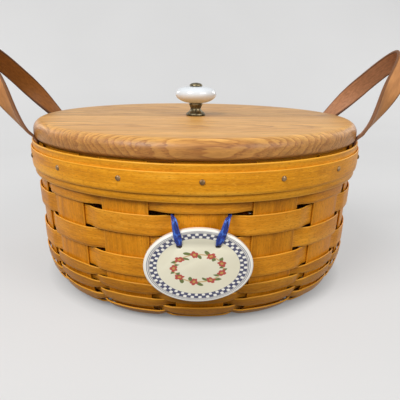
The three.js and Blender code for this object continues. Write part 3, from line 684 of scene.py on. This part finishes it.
def weaver(index, s, width, narrow):
    angle = round_angles(WEAVER_STEPS)
    radius = float(wall(s)[0])
    upright = np.rint(angle / upright_step)
    offset = np.abs(angle / upright_step - upright) * upright_step
    outside = (upright + index) % 2 == 0
    edge = SPLINT_HALF_ANGLE + EDGE_ROOM / radius
    ending = np.clip((offset - edge) / (upright_step / 2 - edge), 0, 1)
    held = np.cos(ending * pi / 2)
    middle = 1 - offset / (upright_step / 2)
    bend = max(wall_bend(s + part * width) for part in (-0.5, 0, 0.5))
    inside = weave_offset + bend * width**2 / 8 + CLEARANCE * bend * CORNER_RADIUS
    bow = NARROW_BOW if narrow else WIDE_BOW
    bow = 0 if index == 0 else bow * sin(wall(s)[2])
    lifted = bow * np.sin(middle * pi / 2) ** 2
    out = np.where(outside, weave_offset * held + lifted, -inside * held)
    if narrow:
        cross_width = NARROW_PITCH - ROW_GAP
        widths = cross_width + (width - cross_width) * (1 - (1 - middle) ** 3)
    else:
        widths = width - 2 * ROW_DRIFT + slow_waves(angle, ROW_DRIFT)
    drift = slow_waves(angle, ROW_DRIFT)
    name = f"weaver_{index + 1:02d}"
    # Narrow rows take a darker tone: painted shade
    columns, tone = (NARROW_COLUMNS, NARROW_ROW_SHADE) if narrow else (WIDE_COLUMNS, 0)
    obj = ring_strip("woven_" + name, s + drift, out, widths, WEAVER_THICKNESS, columns, tone, 1)
    place(obj, "basket", [name], WEAVER_WOOD)


weave_rows = weaver_rows()
for index, row in enumerate(weave_rows):
    weaver(index, *row)


def long_splint(j):
    """Two opposite uprights and the part under the base that joins them."""
    top = wall_distance(BASKET_HEIGHT)
    s = np.concatenate([np.linspace(top, 0, SPLINT_STEPS), np.linspace(0, top, SPLINT_STEPS)[1:]])
    sign = np.concatenate([np.ones(SPLINT_STEPS), -np.ones(SPLINT_STEPS - 1)])[:, None]
    edge = EDGE_SHARE * SPLINT_THICKNESS
    share, reach, height = strip_section(SPLINT_COLUMNS, SPLINT_THICKNESS, edge)
    r, z, slope = (value[:, None] for value in wall(s))
    radius = r + height * np.sin(slope)
    rise = j * level_rise * (1 - smoothstep(r, cross_radius, level_radius))
    half = np.maximum(SPLINT_MIDDLE_WIDTH / 2, radius * sin(SPLINT_HALF_ANGLE))
    along = sign * radius * np.cos(SPLINT_HALF_ANGLE * share)
    across = share * (half - edge) + reach
    turn = j * upright_step
    forward = np.array([sin(turn), -cos(turn), 0])
    sideways = np.array([cos(turn), sin(turn), 0])
    up = np.array([0, 0, 1.0])
    level = z - height * np.cos(slope) + rise
    points = along[..., None] * forward + across[..., None] * sideways + level[..., None] * up
    travelled = run_along(s[:, None])
    lengths = section_lengths(share, reach, height, 2 * float(half.mean()), edge)
    shift = rng.uniform(0, 3, 2)
    # Uprights darken at their tops: painted shade under the lid
    toned = SPLINT_TONES[j] + LID_GAP_SHADE_TONE * smoothstep(s, top - LID_GAP_SHADE_RUN, top)
    layers = {"tone": toned[:, None], "edge": np.abs(share)}
    name = f"upright_splint_{j + 1}"
    obj = loft("bent_" + name, points, travelled, lengths, False, layers, shift)
    place(obj, "basket", [name], UPRIGHT_WOOD)


for j in range(UPRIGHTS // 2):
    long_splint(j)

# Rim


def rim_band(name, foot, head, inner, thickness, tone, crown=0):
    s = np.full(BAND_STEPS, wall_distance((foot + head) / 2))
    width = np.full(BAND_STEPS, (head - foot) / cos(WALL_LEAN))
    out = np.full(BAND_STEPS, inner + thickness / 2)
    obj = ring_strip("bent_" + name, s, out, width, thickness, BAND_COLUMNS, tone, crown=crown)
    place(obj, "basket", [name], BAND_WOOD)


band_foot = BASKET_HEIGHT - BAND_WIDTH
inner_band_top = BASKET_HEIGHT + INNER_BAND_RISE
inner_band_face = inner_band_offset + INNER_BAND_THICKNESS
trim_head = BASKET_HEIGHT - TRIM_DROP
trim_foot = trim_head - TRIM_WIDTH
for band in (
    # The inner band's darker tone is painted shade under the lid
    ("inner_rim_band", band_foot, inner_band_top, -inner_band_face, INNER_BAND_THICKNESS, INNER_BAND_SHADE_TONE),
    ("outer_rim_band", band_foot, BASKET_HEIGHT, band_offset, OUTER_BAND_THICKNESS, OUTER_BAND_TONE),
    ("trim_strip", trim_foot, trim_head, trim_offset, TRIM_THICKNESS, TRIM_TONE, TRIM_CROWN),
):
    rim_band(*band)

STEEL = metal("worn_steel", (0.40, 0.26, 0.13), (0.17, 0.10, 0.045), 0.42)


def dome(radius, foot, height, rim):
    """Profile of a domed head from its rim to the axis."""
    turns = np.linspace(0, pi / 2, 8)
    profile = [(radius * cos(t), foot + rim + (height - rim) * sin(t)) for t in turns[:-1]]
    return profile + [(0, foot + height)]


def rim_tack(i):
    level = trim_head - TACK_DROP
    seat = wall_radius(level) + (trim_offset + TRIM_THICKNESS) / cos(WALL_LEAN)
    tip = wall_radius(level) - inner_band_face / cos(WALL_LEAN)
    profile = [(0, tip), (TACK_SHANK_RADIUS, tip), (TACK_SHANK_RADIUS, seat), (TACK_HEAD_RADIUS, seat)]
    profile += dome(TACK_HEAD_RADIUS, seat, TACK_HEAD_HEIGHT + CLEARANCE, TACK_HEAD_RIM)
    name = f"rim_tack_{i + 1:02d}"
    obj = turned("domed_" + name, profile, TACK_STEPS, False)
    outward = Matrix.Rotation(i * upright_step, 4, "Z") @ Matrix.Rotation(pi / 2, 4, "X")
    obj.data.transform(Matrix.Translation((0, 0, level * MM)) @ outward)
    place(obj, "basket", [name], STEEL)


for i in range(UPRIGHTS):
    rim_tack(i)

# Lid

lid_radius = RIM_DIAMETER / 2 - LID_INSET
lid_foot = inner_band_top + CLEARANCE
lid_top = lid_foot + LID_THICKNESS
lid_step_foot = lid_foot - LID_STEP_DEPTH
bolt_hole = SCREW_RADIUS + CLEARANCE
LID_WOOD = lid_wood("lid_oak")


def lid_profile():
    band_radius = wall_radius(lid_step_foot) - inner_band_face / cos(WALL_LEAN)
    step_radius = band_radius - LID_STEP_ROOM
    step_flat = step_radius - LID_STEP_EASE
    profile = [(bolt_hole, lid_step_foot)]
    profile += [(r, lid_step_foot) for r in np.linspace(LID_STEP_START, step_flat, 4)]
    profile += arc(step_flat, lid_step_foot + LID_STEP_EASE, LID_STEP_EASE, -60, 0, 3)
    profile += [(step_radius, lid_foot)]
    profile += arc(lid_radius - LID_UNDER_ROUND, lid_foot + LID_UNDER_ROUND, LID_UNDER_ROUND, -90, 0, 8)
    profile += arc(lid_radius - LID_TOP_ROUND, lid_top - LID_TOP_ROUND, LID_TOP_ROUND, 0, 90, 12)
    profile += [(r, lid_top) for r in np.linspace(lid_radius - LID_TOP_ROUND, bolt_hole, 6)[1:]]
    return profile


def lid_board(name, start, end, pith, shade):
    obj = turned("shaped_" + name, lid_profile(), LID_STEPS, True, sharp=LID_SHARP)
    shape = bmesh.new()
    shape.from_mesh(obj.data)
    for level, side in ((start, -1), (end, 1)):
        if level is None:
            continue
        everything = shape.verts[:] + shape.edges[:] + shape.faces[:]
        plane = {"plane_co": (0, level * MM, 0), "plane_no": (0, side, 0)}
        cut = bmesh.ops.bisect_plane(shape, geom=everything, clear_outer=True, **plane)["geom_cut"]
        edges = [part for part in cut if isinstance(part, bmesh.types.BMEdge)]
        bmesh.ops.edgenet_fill(shape, edges=edges)
    bmesh.ops.recalc_face_normals(shape, faces=shape.faces)
    shape.to_mesh(obj.data)
    shape.free()
    obj.data.set_sharp_from_angle(angle=radians(LID_SHARP))
    count = len(obj.data.vertices)
    tone = obj.data.attributes.new("tone", "FLOAT", "POINT")
    tone.data.foreach_set("value", np.full(count, shade))
    shift = obj.data.attributes.new("pith", "FLOAT_VECTOR", "POINT")
    shift.data.foreach_set("vector", np.tile(np.array(pith) * MM, count))
    place(obj, "lid", [name], LID_WOOD)


# Boards: name, the joints on either side, where the pith lies, and how pale the board is
joint_back = LID_JOINT_OFFSET + LID_BOARD_WIDTH
half_line = GLUE_LINE / 2
lid_board("lid_board_front", None, LID_JOINT_OFFSET - half_line, (30, 62, -92), 0.6)
lid_board("lid_board_middle", LID_JOINT_OFFSET + half_line, joint_back - half_line, (-60, -14, -140), -0.8)
lid_board("lid_board_back", joint_back + half_line, None, (90, -70, -95), -0.2)

# Knob

BRASS = metal("antique_brass", (0.25, 0.205, 0.12), (0.09, 0.075, 0.045), 0.34)
PORCELAIN = porcelain("white_porcelain")
knob_foot = lid_top + JOINT_GAP
porcelain_foot = knob_foot + KNOB_BASE_HEIGHT + JOINT_GAP
porcelain_top = porcelain_foot + KNOB_HEIGHT
washer_top = lid_step_foot - JOINT_GAP
nut_top = washer_top - WASHER_THICKNESS - JOINT_GAP

# Knob outlines: radius, and share of the height
PEDESTAL_OUTLINE = [
    (7.0, 0), (7.5, 0.04), (7.6, 0.1), (7.3, 0.17), (6.2, 0.25), (5.2, 0.35), (4.4, 0.46),
    (4.1, 0.57), (4.3, 0.68), (4.8, 0.78), (5.2, 0.86), (5.3, 0.93), (5.1, 1),
]
PORCELAIN_OUTLINE = [
    (6.0, 0), (8.6, 0.035), (11.5, 0.13), (13.6, 0.23), (15.0, 0.34), (15.8, 0.46), (16.0, 0.55),
    (15.8, 0.65), (15.0, 0.76), (13.6, 0.855), (11.8, 0.925), (9.4, 0.975), (6.5, 1),
]


def bored(name, outline, foot, height, material):
    levels = [(r, foot + height * share) for r, share in outline]
    profile = [(bolt_hole, foot)] + levels + [(bolt_hole, foot + height)]
    obj = turned("turned_" + name, profile, KNOB_STEPS, True, sharp=KNOB_SHARP)
    place(obj, "lid", [name], material)


bored("knob_base", PEDESTAL_OUTLINE, knob_foot, KNOB_BASE_HEIGHT, BRASS)
bored("knob_body", PORCELAIN_OUTLINE, porcelain_foot, KNOB_HEIGHT, PORCELAIN)
washer_face = WASHER_RADIUS - WASHER_EASE
washer_outline = [(washer_face, 0), (WASHER_RADIUS, 0.25), (WASHER_RADIUS, 0.75), (washer_face, 1)]
washer_foot = washer_top - WASHER_THICKNESS
bored("knob_washer", washer_outline, washer_foot, WASHER_THICKNESS, STEEL)

screw_head = porcelain_top + JOINT_GAP
screw_tip = nut_top - NUT_HEIGHT - CLEARANCE
screw_profile = [
    (0, screw_tip),
    (SCREW_TIP_RADIUS, screw_tip),
    (SCREW_RADIUS, screw_tip + SCREW_TIP_EASE),
    (SCREW_RADIUS, screw_head),
    (SCREW_HEAD_RADIUS - SCREW_HEAD_EASE, screw_head),
    (SCREW_HEAD_RADIUS, screw_head + SCREW_HEAD_EDGE),
]
screw_profile += dome(SCREW_HEAD_RADIUS, screw_head, SCREW_HEAD_HEIGHT, SCREW_HEAD_RIM)
screw = turned("turned_knob_screw", screw_profile, SCREW_STEPS, False, sharp=KNOB_SHARP)
place(screw, "lid", ["knob_screw"], BRASS)


def knob_nut():
    """A hexagon nut whose corners are eased at both ends."""
    turns = np.arange(KNOB_STEPS) * TURN / KNOB_STEPS
    flat = NUT_ACROSS_CORNERS / 2 * cos(pi / 6)
    hexagon = flat / np.cos((turns + pi / 6) % (pi / 3) - pi / 6)
    eased = np.minimum(hexagon, flat * NUT_ROUND_SHARE)
    bore = np.full(KNOB_STEPS, bolt_hole)
    foot = nut_top - NUT_HEIGHT
    rings = [(bore, foot), (eased, foot), (hexagon, foot + NUT_EASE)]
    rings += [(hexagon, nut_top - NUT_EASE), (eased, nut_top), (bore, nut_top)]
    points = np.stack([around(turns, r, z) for r, z in rings], axis=1)
    faces, _, _ = loft_faces(KNOB_STEPS, len(rings), True)
    obj = piece("faceted_knob_nut", points, faces, sharp=NUT_SHARP)
    place(obj, "lid", ["knob_nut"], STEEL)


knob_nut()

# Leather handles

LEATHER = strap_leather("tan_leather")
strap_angle = STRAP_UPRIGHT * upright_step
strap_offset = SPLINT_THICKNESS / 2 + CLEARANCE + STRAP_END_THICKNESS / 2
strap_slot = beside_wall(strap_angle, wall_distance(BASKET_HEIGHT), strap_offset)
strap_fold = strap_slot + np.array([STRAP_FOLD_OUT, 0, STRAP_FOLD_RISE])
loop_up = np.array([sin(STRAP_LEAN), 0, cos(STRAP_LEAN)])
loop_out = np.array([cos(STRAP_LEAN), 0, -sin(STRAP_LEAN)])


def unit(vectors):
    return vectors / np.linalg.norm(vectors, axis=-1, keepdims=True)


def bezier(handles, steps):
    """Points of a curve with four handles."""
    t = np.linspace(0, 1, steps + 1)[:, None]
    weights = np.hstack([(1 - t) ** 3, 3 * t * (1 - t) ** 2, 3 * t**2 * (1 - t), t**3])
    return weights @ np.array(handles)


def strap_half(loop_shape, side):
    """One leg of a strap on the right, up to the top of its loop. side is 1 in front, -1 behind."""
    height, set_back, leg, crown = loop_shape
    mirror = np.array([1, side, 1])
    levels = np.linspace(BASKET_HEIGHT - STRAP_TAB_LENGTH, BASKET_HEIGHT, STRAP_TAB_STEPS + 1)[:-1]
    tab = beside_wall(strap_angle, wall_distance(levels), strap_offset)
    wall_up = unit(strap_slot - tab[0])
    size = np.linalg.norm(strap_fold - strap_slot) / 3
    bend = [strap_slot, strap_slot + wall_up * size, strap_fold - loop_up * size, strap_fold]
    fold = bezier(bend, STRAP_FOLD_STEPS)[:-1]
    foot = side * strap_fold[1]
    shoulder = set_back - side * crown
    legs = [(foot, 0), (foot, height * leg), (shoulder, height), (set_back, height)]
    flat = bezier(legs, STRAP_LEG_STEPS)
    middle = np.array([strap_fold[0], 0, strap_fold[2]])
    loop = middle + flat[:, :1] * np.array([0, 1.0, 0]) + flat[:, 1:] * loop_up
    line = np.vstack([tab * mirror, fold * mirror, loop])
    ahead = unit(np.gradient(line, axis=0))
    tangent = np.array([cos(strap_angle), side * sin(strap_angle), 0])
    start = len(tab) + len(fold)
    run = run_along(line) - run_along(line)[start]
    foot_twist = atan2(tangent @ loop_out, side * tangent[1])
    turned_over = smoothstep(run, -STRAP_TWIST_LEAD, STRAP_TWIST_RUN)
    twist = foot_twist + (pi / 2 - foot_twist) * turned_over
    beside = side * np.cross(ahead, loop_out)
    looped = beside * np.cos(twist)[:, None] + loop_out * np.sin(twist)[:, None]
    looped = np.where((run >= 0)[:, None], looped, tangent)
    across = unit(looped - ahead * np.sum(looped * ahead, axis=1, keepdims=True))
    thickened = (run[len(tab)], 0, STRAP_THINNED_RUN)
    thickness = np.interp(run, thickened, (STRAP_END_THICKNESS, STRAP_FOLD_THICKNESS, STRAP_THICKNESS))
    thick = side * np.cross(across, ahead)
    return line, across, thick, thickness


def strap(side, name, loop_shape, inner_face_light):
    """One strap from end to end. side is 1 for the right handle and -1 for the left."""
    front, back = strap_half(loop_shape, 1), strap_half(loop_shape, -1)
    line, across, thick, thickness = (np.concatenate([a, b[-2::-1]]) for a, b in zip(front, back))
    flip = np.array([side, 1, 1])
    share, reach, height = strip_section(STRAP_COLUMNS, 1, STRAP_EDGE_SHARE)
    offset = share * (STRAP_WIDTH / 2 - STRAP_EDGE_SHARE * STRAP_THICKNESS) + reach * STRAP_THICKNESS
    points = line[:, None] + across[:, None] * offset[:, None]
    points = points + thick[:, None] * (height * thickness[:, None])[..., None]
    travelled = run_along(line)
    lengths = section_lengths(share, reach, height, STRAP_WIDTH, STRAP_EDGE_SHARE)
    # The last layer carries painted light and shade for the inner face
    layers = {"edge": np.abs(share) + np.abs(reach), "face": np.sign(height), "inner_face_light": inner_face_light}
    shift = rng.uniform(0, 3, 2)
    obj = loft("leather_" + name, points * flip, travelled, lengths, False, layers, shift)
    nodes = [f"{name}_handle_strap", f"{name}_strap_tab_front", f"{name}_strap_tab_back"]
    place(obj, None, nodes, LEATHER)
    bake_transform(obj)


strap(-1, "left", LEFT_LOOP, LEFT_INNER_SHADE)
strap(1, "right", RIGHT_LOOP, RIGHT_INNER_LIGHT)

# Plaque

top_row, second_row = weave_rows[:2]
slot_foot = float(wall(second_row[0] + second_row[1] / 2)[1])
slot_head = float(wall(top_row[0] - top_row[1] / 2)[1])
slot_height = (slot_foot + slot_head) / 2
slot_distance = wall_distance(slot_height)
plaque_top = slot_foot - PLAQUE_DROP
plaque_middle = plaque_top - PLAQUE_HEIGHT / 2
plaque_back = wall_radius(plaque_top) + weave_reach + 2 * CLEARANCE
plaque_front = plaque_back + PLAQUE_THICKNESS

CREAM = (0.79, 0.735, 0.55)
PALE_CREAM = (0.83, 0.78, 0.60)
WHITE_GLAZE = (0.90, 0.865, 0.775)
CHECK_BLUE = (0.022, 0.027, 0.10)
PETAL_RED = (0.46, 0.062, 0.04)
HEART_GOLD = (0.55, 0.30, 0.065)
LEAF_GREEN = (0.13, 0.16, 0.035)
CHECK_COLUMNS = 76
CHECK_ROWS = 2
CHECK_INNER = 0.755
CHECK_OUTER = 0.89

# Fine lines outside the checks: share of the half width, and strength
BORDER_LINES = ((0.908, 0.9), (0.936, 0.8))
LINE_HALF_WIDTH = 0.007

# Garland of blossoms round the plaque's middle, in millimetres
GARLAND_WIDE = 14.5
GARLAND_HIGH = 8.6
GARLAND_BLOSSOMS = 9
GARLAND_DROP = 1.2
PETALS = 5
PETAL_REACH = 1.15
HEART_RADIUS = 0.85


def plaque_glaze(name):
    """Glazed oval with a check border and a garland of blossoms and leaves, drawn from shapes."""
    look = Look(name, Specular_IOR_Level=0.5, Coat_Weight=0.3, Coat_Roughness=0.05)
    x = look.part(look.where, 0) * (1 / MM) - PLAQUE_SHIFT
    y = look.part(look.where, 2) * (1 / MM) - plaque_middle
    drift = look.noise((70, 70, 70), 3.0)
    wobble = look.noise((600, 600, 600), 2.0)
    colour = look.ramp(drift, (0.35, CREAM), (0.65, PALE_CREAM))

    def length(a, b):
        return look.length(look.join(a, b))

    def between(value, low, high, soft):
        rising = look.span(value, low - soft, low + soft)
        return rising * look.span(value, high - soft, high + soft, 1.0, 0.0)

    def waves(value, count):
        return look.math("SINE", value * count)

    # Border
    wide = x / (PLAQUE_WIDTH / 2)
    high = y / (PLAQUE_HEIGHT / 2)
    reach = length(wide, high)
    turn = look.math("ARCTAN2", high, wide)
    row_width = (CHECK_OUTER - CHECK_INNER) / CHECK_ROWS
    checks = waves(turn, CHECK_COLUMNS / 2) * waves(reach - CHECK_INNER, pi / row_width)
    inked = look.span(checks, 0.05, 0.3, 1.0, 0.0)
    border = between(reach, CHECK_INNER, CHECK_OUTER, 0.005)
    worn = look.span(wobble, 0.25, 0.75, 0.9, 1.0)
    rim = look.span(reach, CHECK_OUTER, CHECK_OUTER + 0.01)
    colour = look.mix(rim, colour, WHITE_GLAZE)
    colour = look.mix(border, colour, WHITE_GLAZE)
    colour = look.mix(border * inked * worn, colour, CHECK_BLUE)
    for line, strength in BORDER_LINES:
        drawn = between(reach, line - LINE_HALF_WIDTH, line + LINE_HALF_WIDTH, 0.004)
        colour = look.mix(drawn * strength, colour, CHECK_BLUE)

    # Garland, one blossom and two leaves repeated round an oval
    ring_wide = x / GARLAND_WIDE
    ring_high = (y + GARLAND_DROP) / GARLAND_HIGH
    ring_turn = look.math("ARCTAN2", ring_high, ring_wide)
    sideways = waves(ring_turn, 1.0) * GARLAND_WIDE
    speed = length(sideways, look.math("COSINE", ring_turn) * GARLAND_HIGH)
    cell = look.math("FRACT", ring_turn * (GARLAND_BLOSSOMS / TURN))
    along = (cell - 0.5) * (TURN / GARLAND_BLOSSOMS) * speed
    outside = length(ring_wide, ring_high) - 1.0
    out = outside * (GARLAND_WIDE * GARLAND_HIGH) / speed

    def oval(cx, cy, rx, ry, lean=0.0):
        dx = along - cx
        dy = out - cy
        c, s = cos(lean), sin(lean)
        ahead = dx * (c / rx) + dy * (s / rx)
        aside = dx * (-s / ry) + dy * (c / ry)
        return look.span(length(ahead, aside) + wobble * 0.25, 1.0, 1.2, 1.0, 0.0)

    stem = look.span(look.math("ABSOLUTE", out), 0.2, 0.5, 0.8, 0.0)
    colour = look.mix(stem, colour, HEART_GOLD)
    for side in (-1, 1):
        colour = look.mix(oval(side * 3.1, side * 1.4, 2.0, 0.95, 0.55), colour, LEAF_GREEN)
    for i in range(PETALS):
        lean = i * TURN / PETALS + TURN / 4
        petal = oval(PETAL_REACH * cos(lean), PETAL_REACH * sin(lean), 1.25, 1.0, lean)
        colour = look.mix(petal, colour, PETAL_RED)
    colour = look.mix(oval(0, 0, HEART_RADIUS, HEART_RADIUS), colour, HEART_GOLD)
    look.bump(drift, 0.0003, 0.15)
    return look.paint(colour, look.spread(drift, 0.14, 0.24))


def plaque():
    """An oval plate with eased edges and two flared holes, made flat and stood up."""
    count, ease, flare, past = PLAQUE_STEPS, PLAQUE_EASE, HOLE_FLARE, 1
    support = ease + 0.4
    turns = np.arange(count) * TURN / count
    outline = [(-support, 0)]
    outline += arc(-ease, ease, ease, -90, 0, 7)
    outline += arc(-ease, PLAQUE_THICKNESS - ease, ease, 0, 90, 7)
    outline += [(-support, PLAQUE_THICKNESS)]
    rings = []
    for inset, depth in outline:
        a, b = PLAQUE_WIDTH / 2 + inset, PLAQUE_HEIGHT / 2 + inset
        rings.append(np.stack([a * np.cos(turns), b * np.sin(turns), np.full(count, depth)], axis=1))
    points = np.stack(rings, axis=1)
    columns = len(rings)
    faces, _, _ = loft_faces(count, columns, True, wrap=False)
    faces.append([i * columns for i in range(count)])
    faces.append([i * columns + columns - 1 for i in range(count)])
    obj = piece("glazed_plaque", points, faces)
    bevel = flare * 0.3
    lower = [(0, -past), (HOLE_RADIUS + flare + past, -past), (HOLE_RADIUS + flare, 0)]
    lower += [(HOLE_RADIUS + bevel, bevel), (HOLE_RADIUS, flare)]
    profile = lower + [(r, PLAQUE_THICKNESS - z) for r, z in reversed(lower)]
    cutters = []
    for side in (-1, 1):
        drill = turned("drill", profile, 32, False)
        drill.data.transform(Matrix.Translation((side * HOLE_SPACING / 2 * MM, HOLE_RISE * MM, 0)))
        change = obj.modifiers.new("hole", "BOOLEAN")
        change.object = drill
        change.solver = "EXACT"
        cutters.append(drill)
    graph = bpy.context.evaluated_depsgraph_get()
    drilled = bpy.data.meshes.new_from_object(obj.evaluated_get(graph))
    obj.modifiers.clear()
    obj.data = drilled
    for drill in cutters:
        bpy.data.objects.remove(drill)
    stand = Matrix.Translation((PLAQUE_SHIFT * MM, -plaque_back * MM, plaque_middle * MM))
    obj.data.transform(stand @ Matrix.Rotation(pi / 2, 4, "X"))
    obj.data.materials.clear()
    obj.data.shade_smooth()
    obj.data.set_sharp_from_angle(angle=radians(PLAQUE_SHARP))
    place(obj, "plaque", ["plaque"], plaque_glaze("painted_glaze"))


plaque()

# Ribbon

SATIN = satin("blue_satin")
ribbon_turn = SPLINT_HALF_ANGLE + (CLEARANCE + RIBBON_GATHERED) / wall_radius(slot_height)
ribbon_exit = weave_reach + CLEARANCE


def smooth_line(knots, steps):
    """A smooth line through the knots, each a row of values."""
    knots = np.array(knots, float)
    padded = np.vstack([2 * knots[0] - knots[1], knots, 2 * knots[-1] - knots[-2]])
    t = np.linspace(0, 1, steps, endpoint=False)[:, None]
    parts = []
    for a, b, c, d in zip(padded, padded[1:], padded[2:], padded[3:]):
        curve = (2 * a - 5 * b + 4 * c - d) * t**2 + (3 * b - a - 3 * c + d) * t**3
        parts.append(0.5 * (2 * b + (c - a) * t + curve))
    return np.vstack(parts + [knots[-1:]])


def ribbon(name, knots, body, across):
    """A ribbon along knots of x, y, z, width and thickness."""
    values = smooth_line(knots, RIBBON_STEPS)
    line, width, thickness = values[:, :3], values[:, 3], values[:, 4]
    ahead = unit(np.gradient(line, axis=0))
    across = unit(across - ahead * np.sum(ahead * across, axis=1, keepdims=True))
    thick = np.cross(across, ahead)
    share, reach, height = strip_section(RIBBON_COLUMNS, 1, RIBBON_EDGE_SHARE)
    travelled = run_along(line)
    drift = RIBBON_FOLD_DRIFT * travelled[:, None]
    wave = np.sin(RIBBON_FOLDS * pi * share + RIBBON_FOLD_START + drift)
    folds = RIBBON_FOLD_DEPTH * wave * (1 - share**2) * (reach == 0)
    edge = RIBBON_EDGE_SHARE * thickness[:, None]
    offset = share * (width[:, None] / 2 - edge) + reach * thickness[:, None]
    lifted = (height + folds) * thickness[:, None]
    points = line[:, None] + across[:, None] * offset[..., None] + thick[:, None] * lifted[..., None]
    lengths = section_lengths(share, reach, height, RIBBON_WIDTH, RIBBON_EDGE_SHARE)
    obj = loft("satin_" + name, points, travelled, lengths, False)
    place(obj, body, [name], SATIN)


def ribbon_leg(side, name):
    start = beside_wall(side * ribbon_turn, slot_distance, ribbon_exit - 0.1)
    face = -plaque_front - CLEARANCE - RIBBON_THICKNESS / 2
    hole_x = PLAQUE_SHIFT + side * HOLE_SPACING / 2
    hole_z = plaque_middle + HOLE_RISE

    def at(t):
        return start[0] + (hole_x - start[0]) * t

    knots = [
        (*start, 1.4, 1.0),
        (at(0.3), face + 1.6, slot_height - 1.2, 3.0, 0.7),
        (at(0.55), face, plaque_top - 0.4, 4.0, 0.5),
        (at(0.8), face, (plaque_top + hole_z) / 2, 4.6, 0.5),
        (hole_x, face + 0.1, hole_z + HOLE_RADIUS * 0.9, 3.2, 0.6),
        (hole_x, face + 1.4, hole_z + 0.3, 2.2, 1.0),
        (hole_x, -plaque_back, hole_z, 1.8, 1.0),
    ]
    ribbon(name, knots, "plaque", np.array([1.0, 0, 0]))


def ribbon_back():
    behind = -(SPLINT_THICKNESS / 2 + CLEARANCE + RIBBON_GATHERED / 2)
    half = [(-1, ribbon_exit), (-1, behind + 0.6), (-0.8, behind)]
    whole = half + [(0, behind)] + [(-share, out) for share, out in reversed(half)]
    knots = []
    for share, out in whole:
        knots.append((*beside_wall(ribbon_turn * share, slot_distance, out), RIBBON_GATHERED, 0.9))
    ribbon("ribbon_back", knots, "basket", np.array([0, 0, 1.0]))


ribbon_leg(-1, "ribbon_left")
ribbon_leg(1, "ribbon_right")
ribbon_back()

# Studio

FLOOR_BOUNCE = (0.15, 0.147, 0.143)
FLOOR_GLOW = 0.40
WALL_GLOW = 0.47
# Painted contact shadow round the basket's foot: no glow inside the first radius, full glow beyond the
# second, in metres
CONTACT_SHADOW_START = 0.092
CONTACT_SHADOW_EDGE = 0.12
WORLD_LIGHT = 0.33
WORLD_SEEN = 0.72

# Backdrop, in millimetres
PAPER_FRONT = -1600
PAPER_DEPTH = 1500
PAPER_HEIGHT = 1800
PAPER_HALF_WIDTH = 3000
PAPER_ROUND = 600
PAPER_DROP = 0.15

# Lamps: name, place, size and power
LAMP_TARGET = (0, 0, 0.07)
LAMPS = (
    ("key", (-0.8, -0.95, 1.25), 0.9, 23),
    ("fill", (0.95, -0.95, 0.95), 0.9, 10),
    ("left_rim", (-1.15, 0.95, 0.6), 0.7, 3.4),
    ("right_rim", (1.15, 0.95, 0.6), 0.7, 3.4),
)

# Camera: lens and sensor in millimetres, place in metres, turns in degrees
LENS = 43.2
SENSOR = 36
CAMERA_PLACE = (-0.01241, -0.38272, 0.1592)
CAMERA_TURNS = ((-2.5, "Z"), (73.966, "X"), (0.766, "Z"))


def seen_rays(look):
    """1 for the rays of the camera and of reflections, 0 for those that carry light."""
    kinds = ("Camera", "Glossy", "Transmission")
    rays = [look.node("LightPath", {}, f"Is {kind} Ray") for kind in kinds]
    return look.math("MAXIMUM", look.math("MAXIMUM", rays[0], rays[1]), rays[2])


def backdrop():
    """A floor that curves up into a wall behind the basket."""
    bend = PAPER_DEPTH - PAPER_ROUND
    line = [(PAPER_FRONT, 0)]
    line += arc(bend, PAPER_ROUND, PAPER_ROUND, -90, 0, 24)
    line += [(PAPER_DEPTH, PAPER_HEIGHT)]
    sides = (-PAPER_HALF_WIDTH, PAPER_HALF_WIDTH)
    points = np.array([[(x, y, z - PAPER_DROP) for y, z in line] for x in sides])
    faces, _, _ = loft_faces(2, len(line), False, wrap=False)
    obj = piece("backdrop", points, faces)
    look = Look("studio_paper", Specular_IOR_Level=0.15, Emission_Color=(1, 1, 1, 1))
    fibres = look.noise((900, 900, 900), 3.0)
    clouds = look.noise((3, 3, 3), 2.0)
    behind = look.part(look.where, 1)
    paper = look.ramp(clouds, (0.3, (0.30, 0.298, 0.295)), (0.7, (0.33, 0.328, 0.325)))
    seen = seen_rays(look)
    colour = look.mix(seen, FLOOR_BOUNCE, paper)
    glow = seen * look.span(behind, 0.0, 1.2, FLOOR_GLOW, WALL_GLOW)
    # The glow fades to nothing near the basket: painted contact shadow round its foot
    glow = glow * look.span(look.length(look.where), CONTACT_SHADOW_START, CONTACT_SHADOW_EDGE)
    look.set("Emission Strength", glow)
    look.bump(fibres, 0.0001, 0.2)
    obj.data.materials.append(look.paint(colour, look.spread(fibres, 0.75, 0.9)))


def softbox(name, location, size, power):
    light = bpy.data.lights.new(name, "AREA")
    light.shape = "DISK"
    light.size = size
    light.energy = power
    obj = add(name, light)
    obj.location = location
    aim = Vector(LAMP_TARGET) - Vector(location)
    obj.rotation_euler = aim.to_track_quat("-Z", "Y").to_euler()


backdrop()
for lamp in LAMPS:
    softbox(*lamp)
world = Look("studio", world=True, Color=(1, 1, 1, 1))
world.set("Strength", world.span(seen_rays(world), 0.0, 1.0, WORLD_LIGHT, WORLD_SEEN))
bpy.context.scene.world = world.owner

lens = bpy.data.cameras.new("camera")
lens.sensor_width = SENSOR
lens.lens = LENS
lens.clip_start = 0.01
pose = Matrix.Translation(CAMERA_PLACE)
for degrees, axis in CAMERA_TURNS:
    pose = pose @ Matrix.Rotation(radians(degrees), 4, axis)
camera = add("camera", lens)
camera.matrix_world = pose
bpy.context.scene.camera = camera
bpy.context.scene.view_settings.view_transform = "Standard"
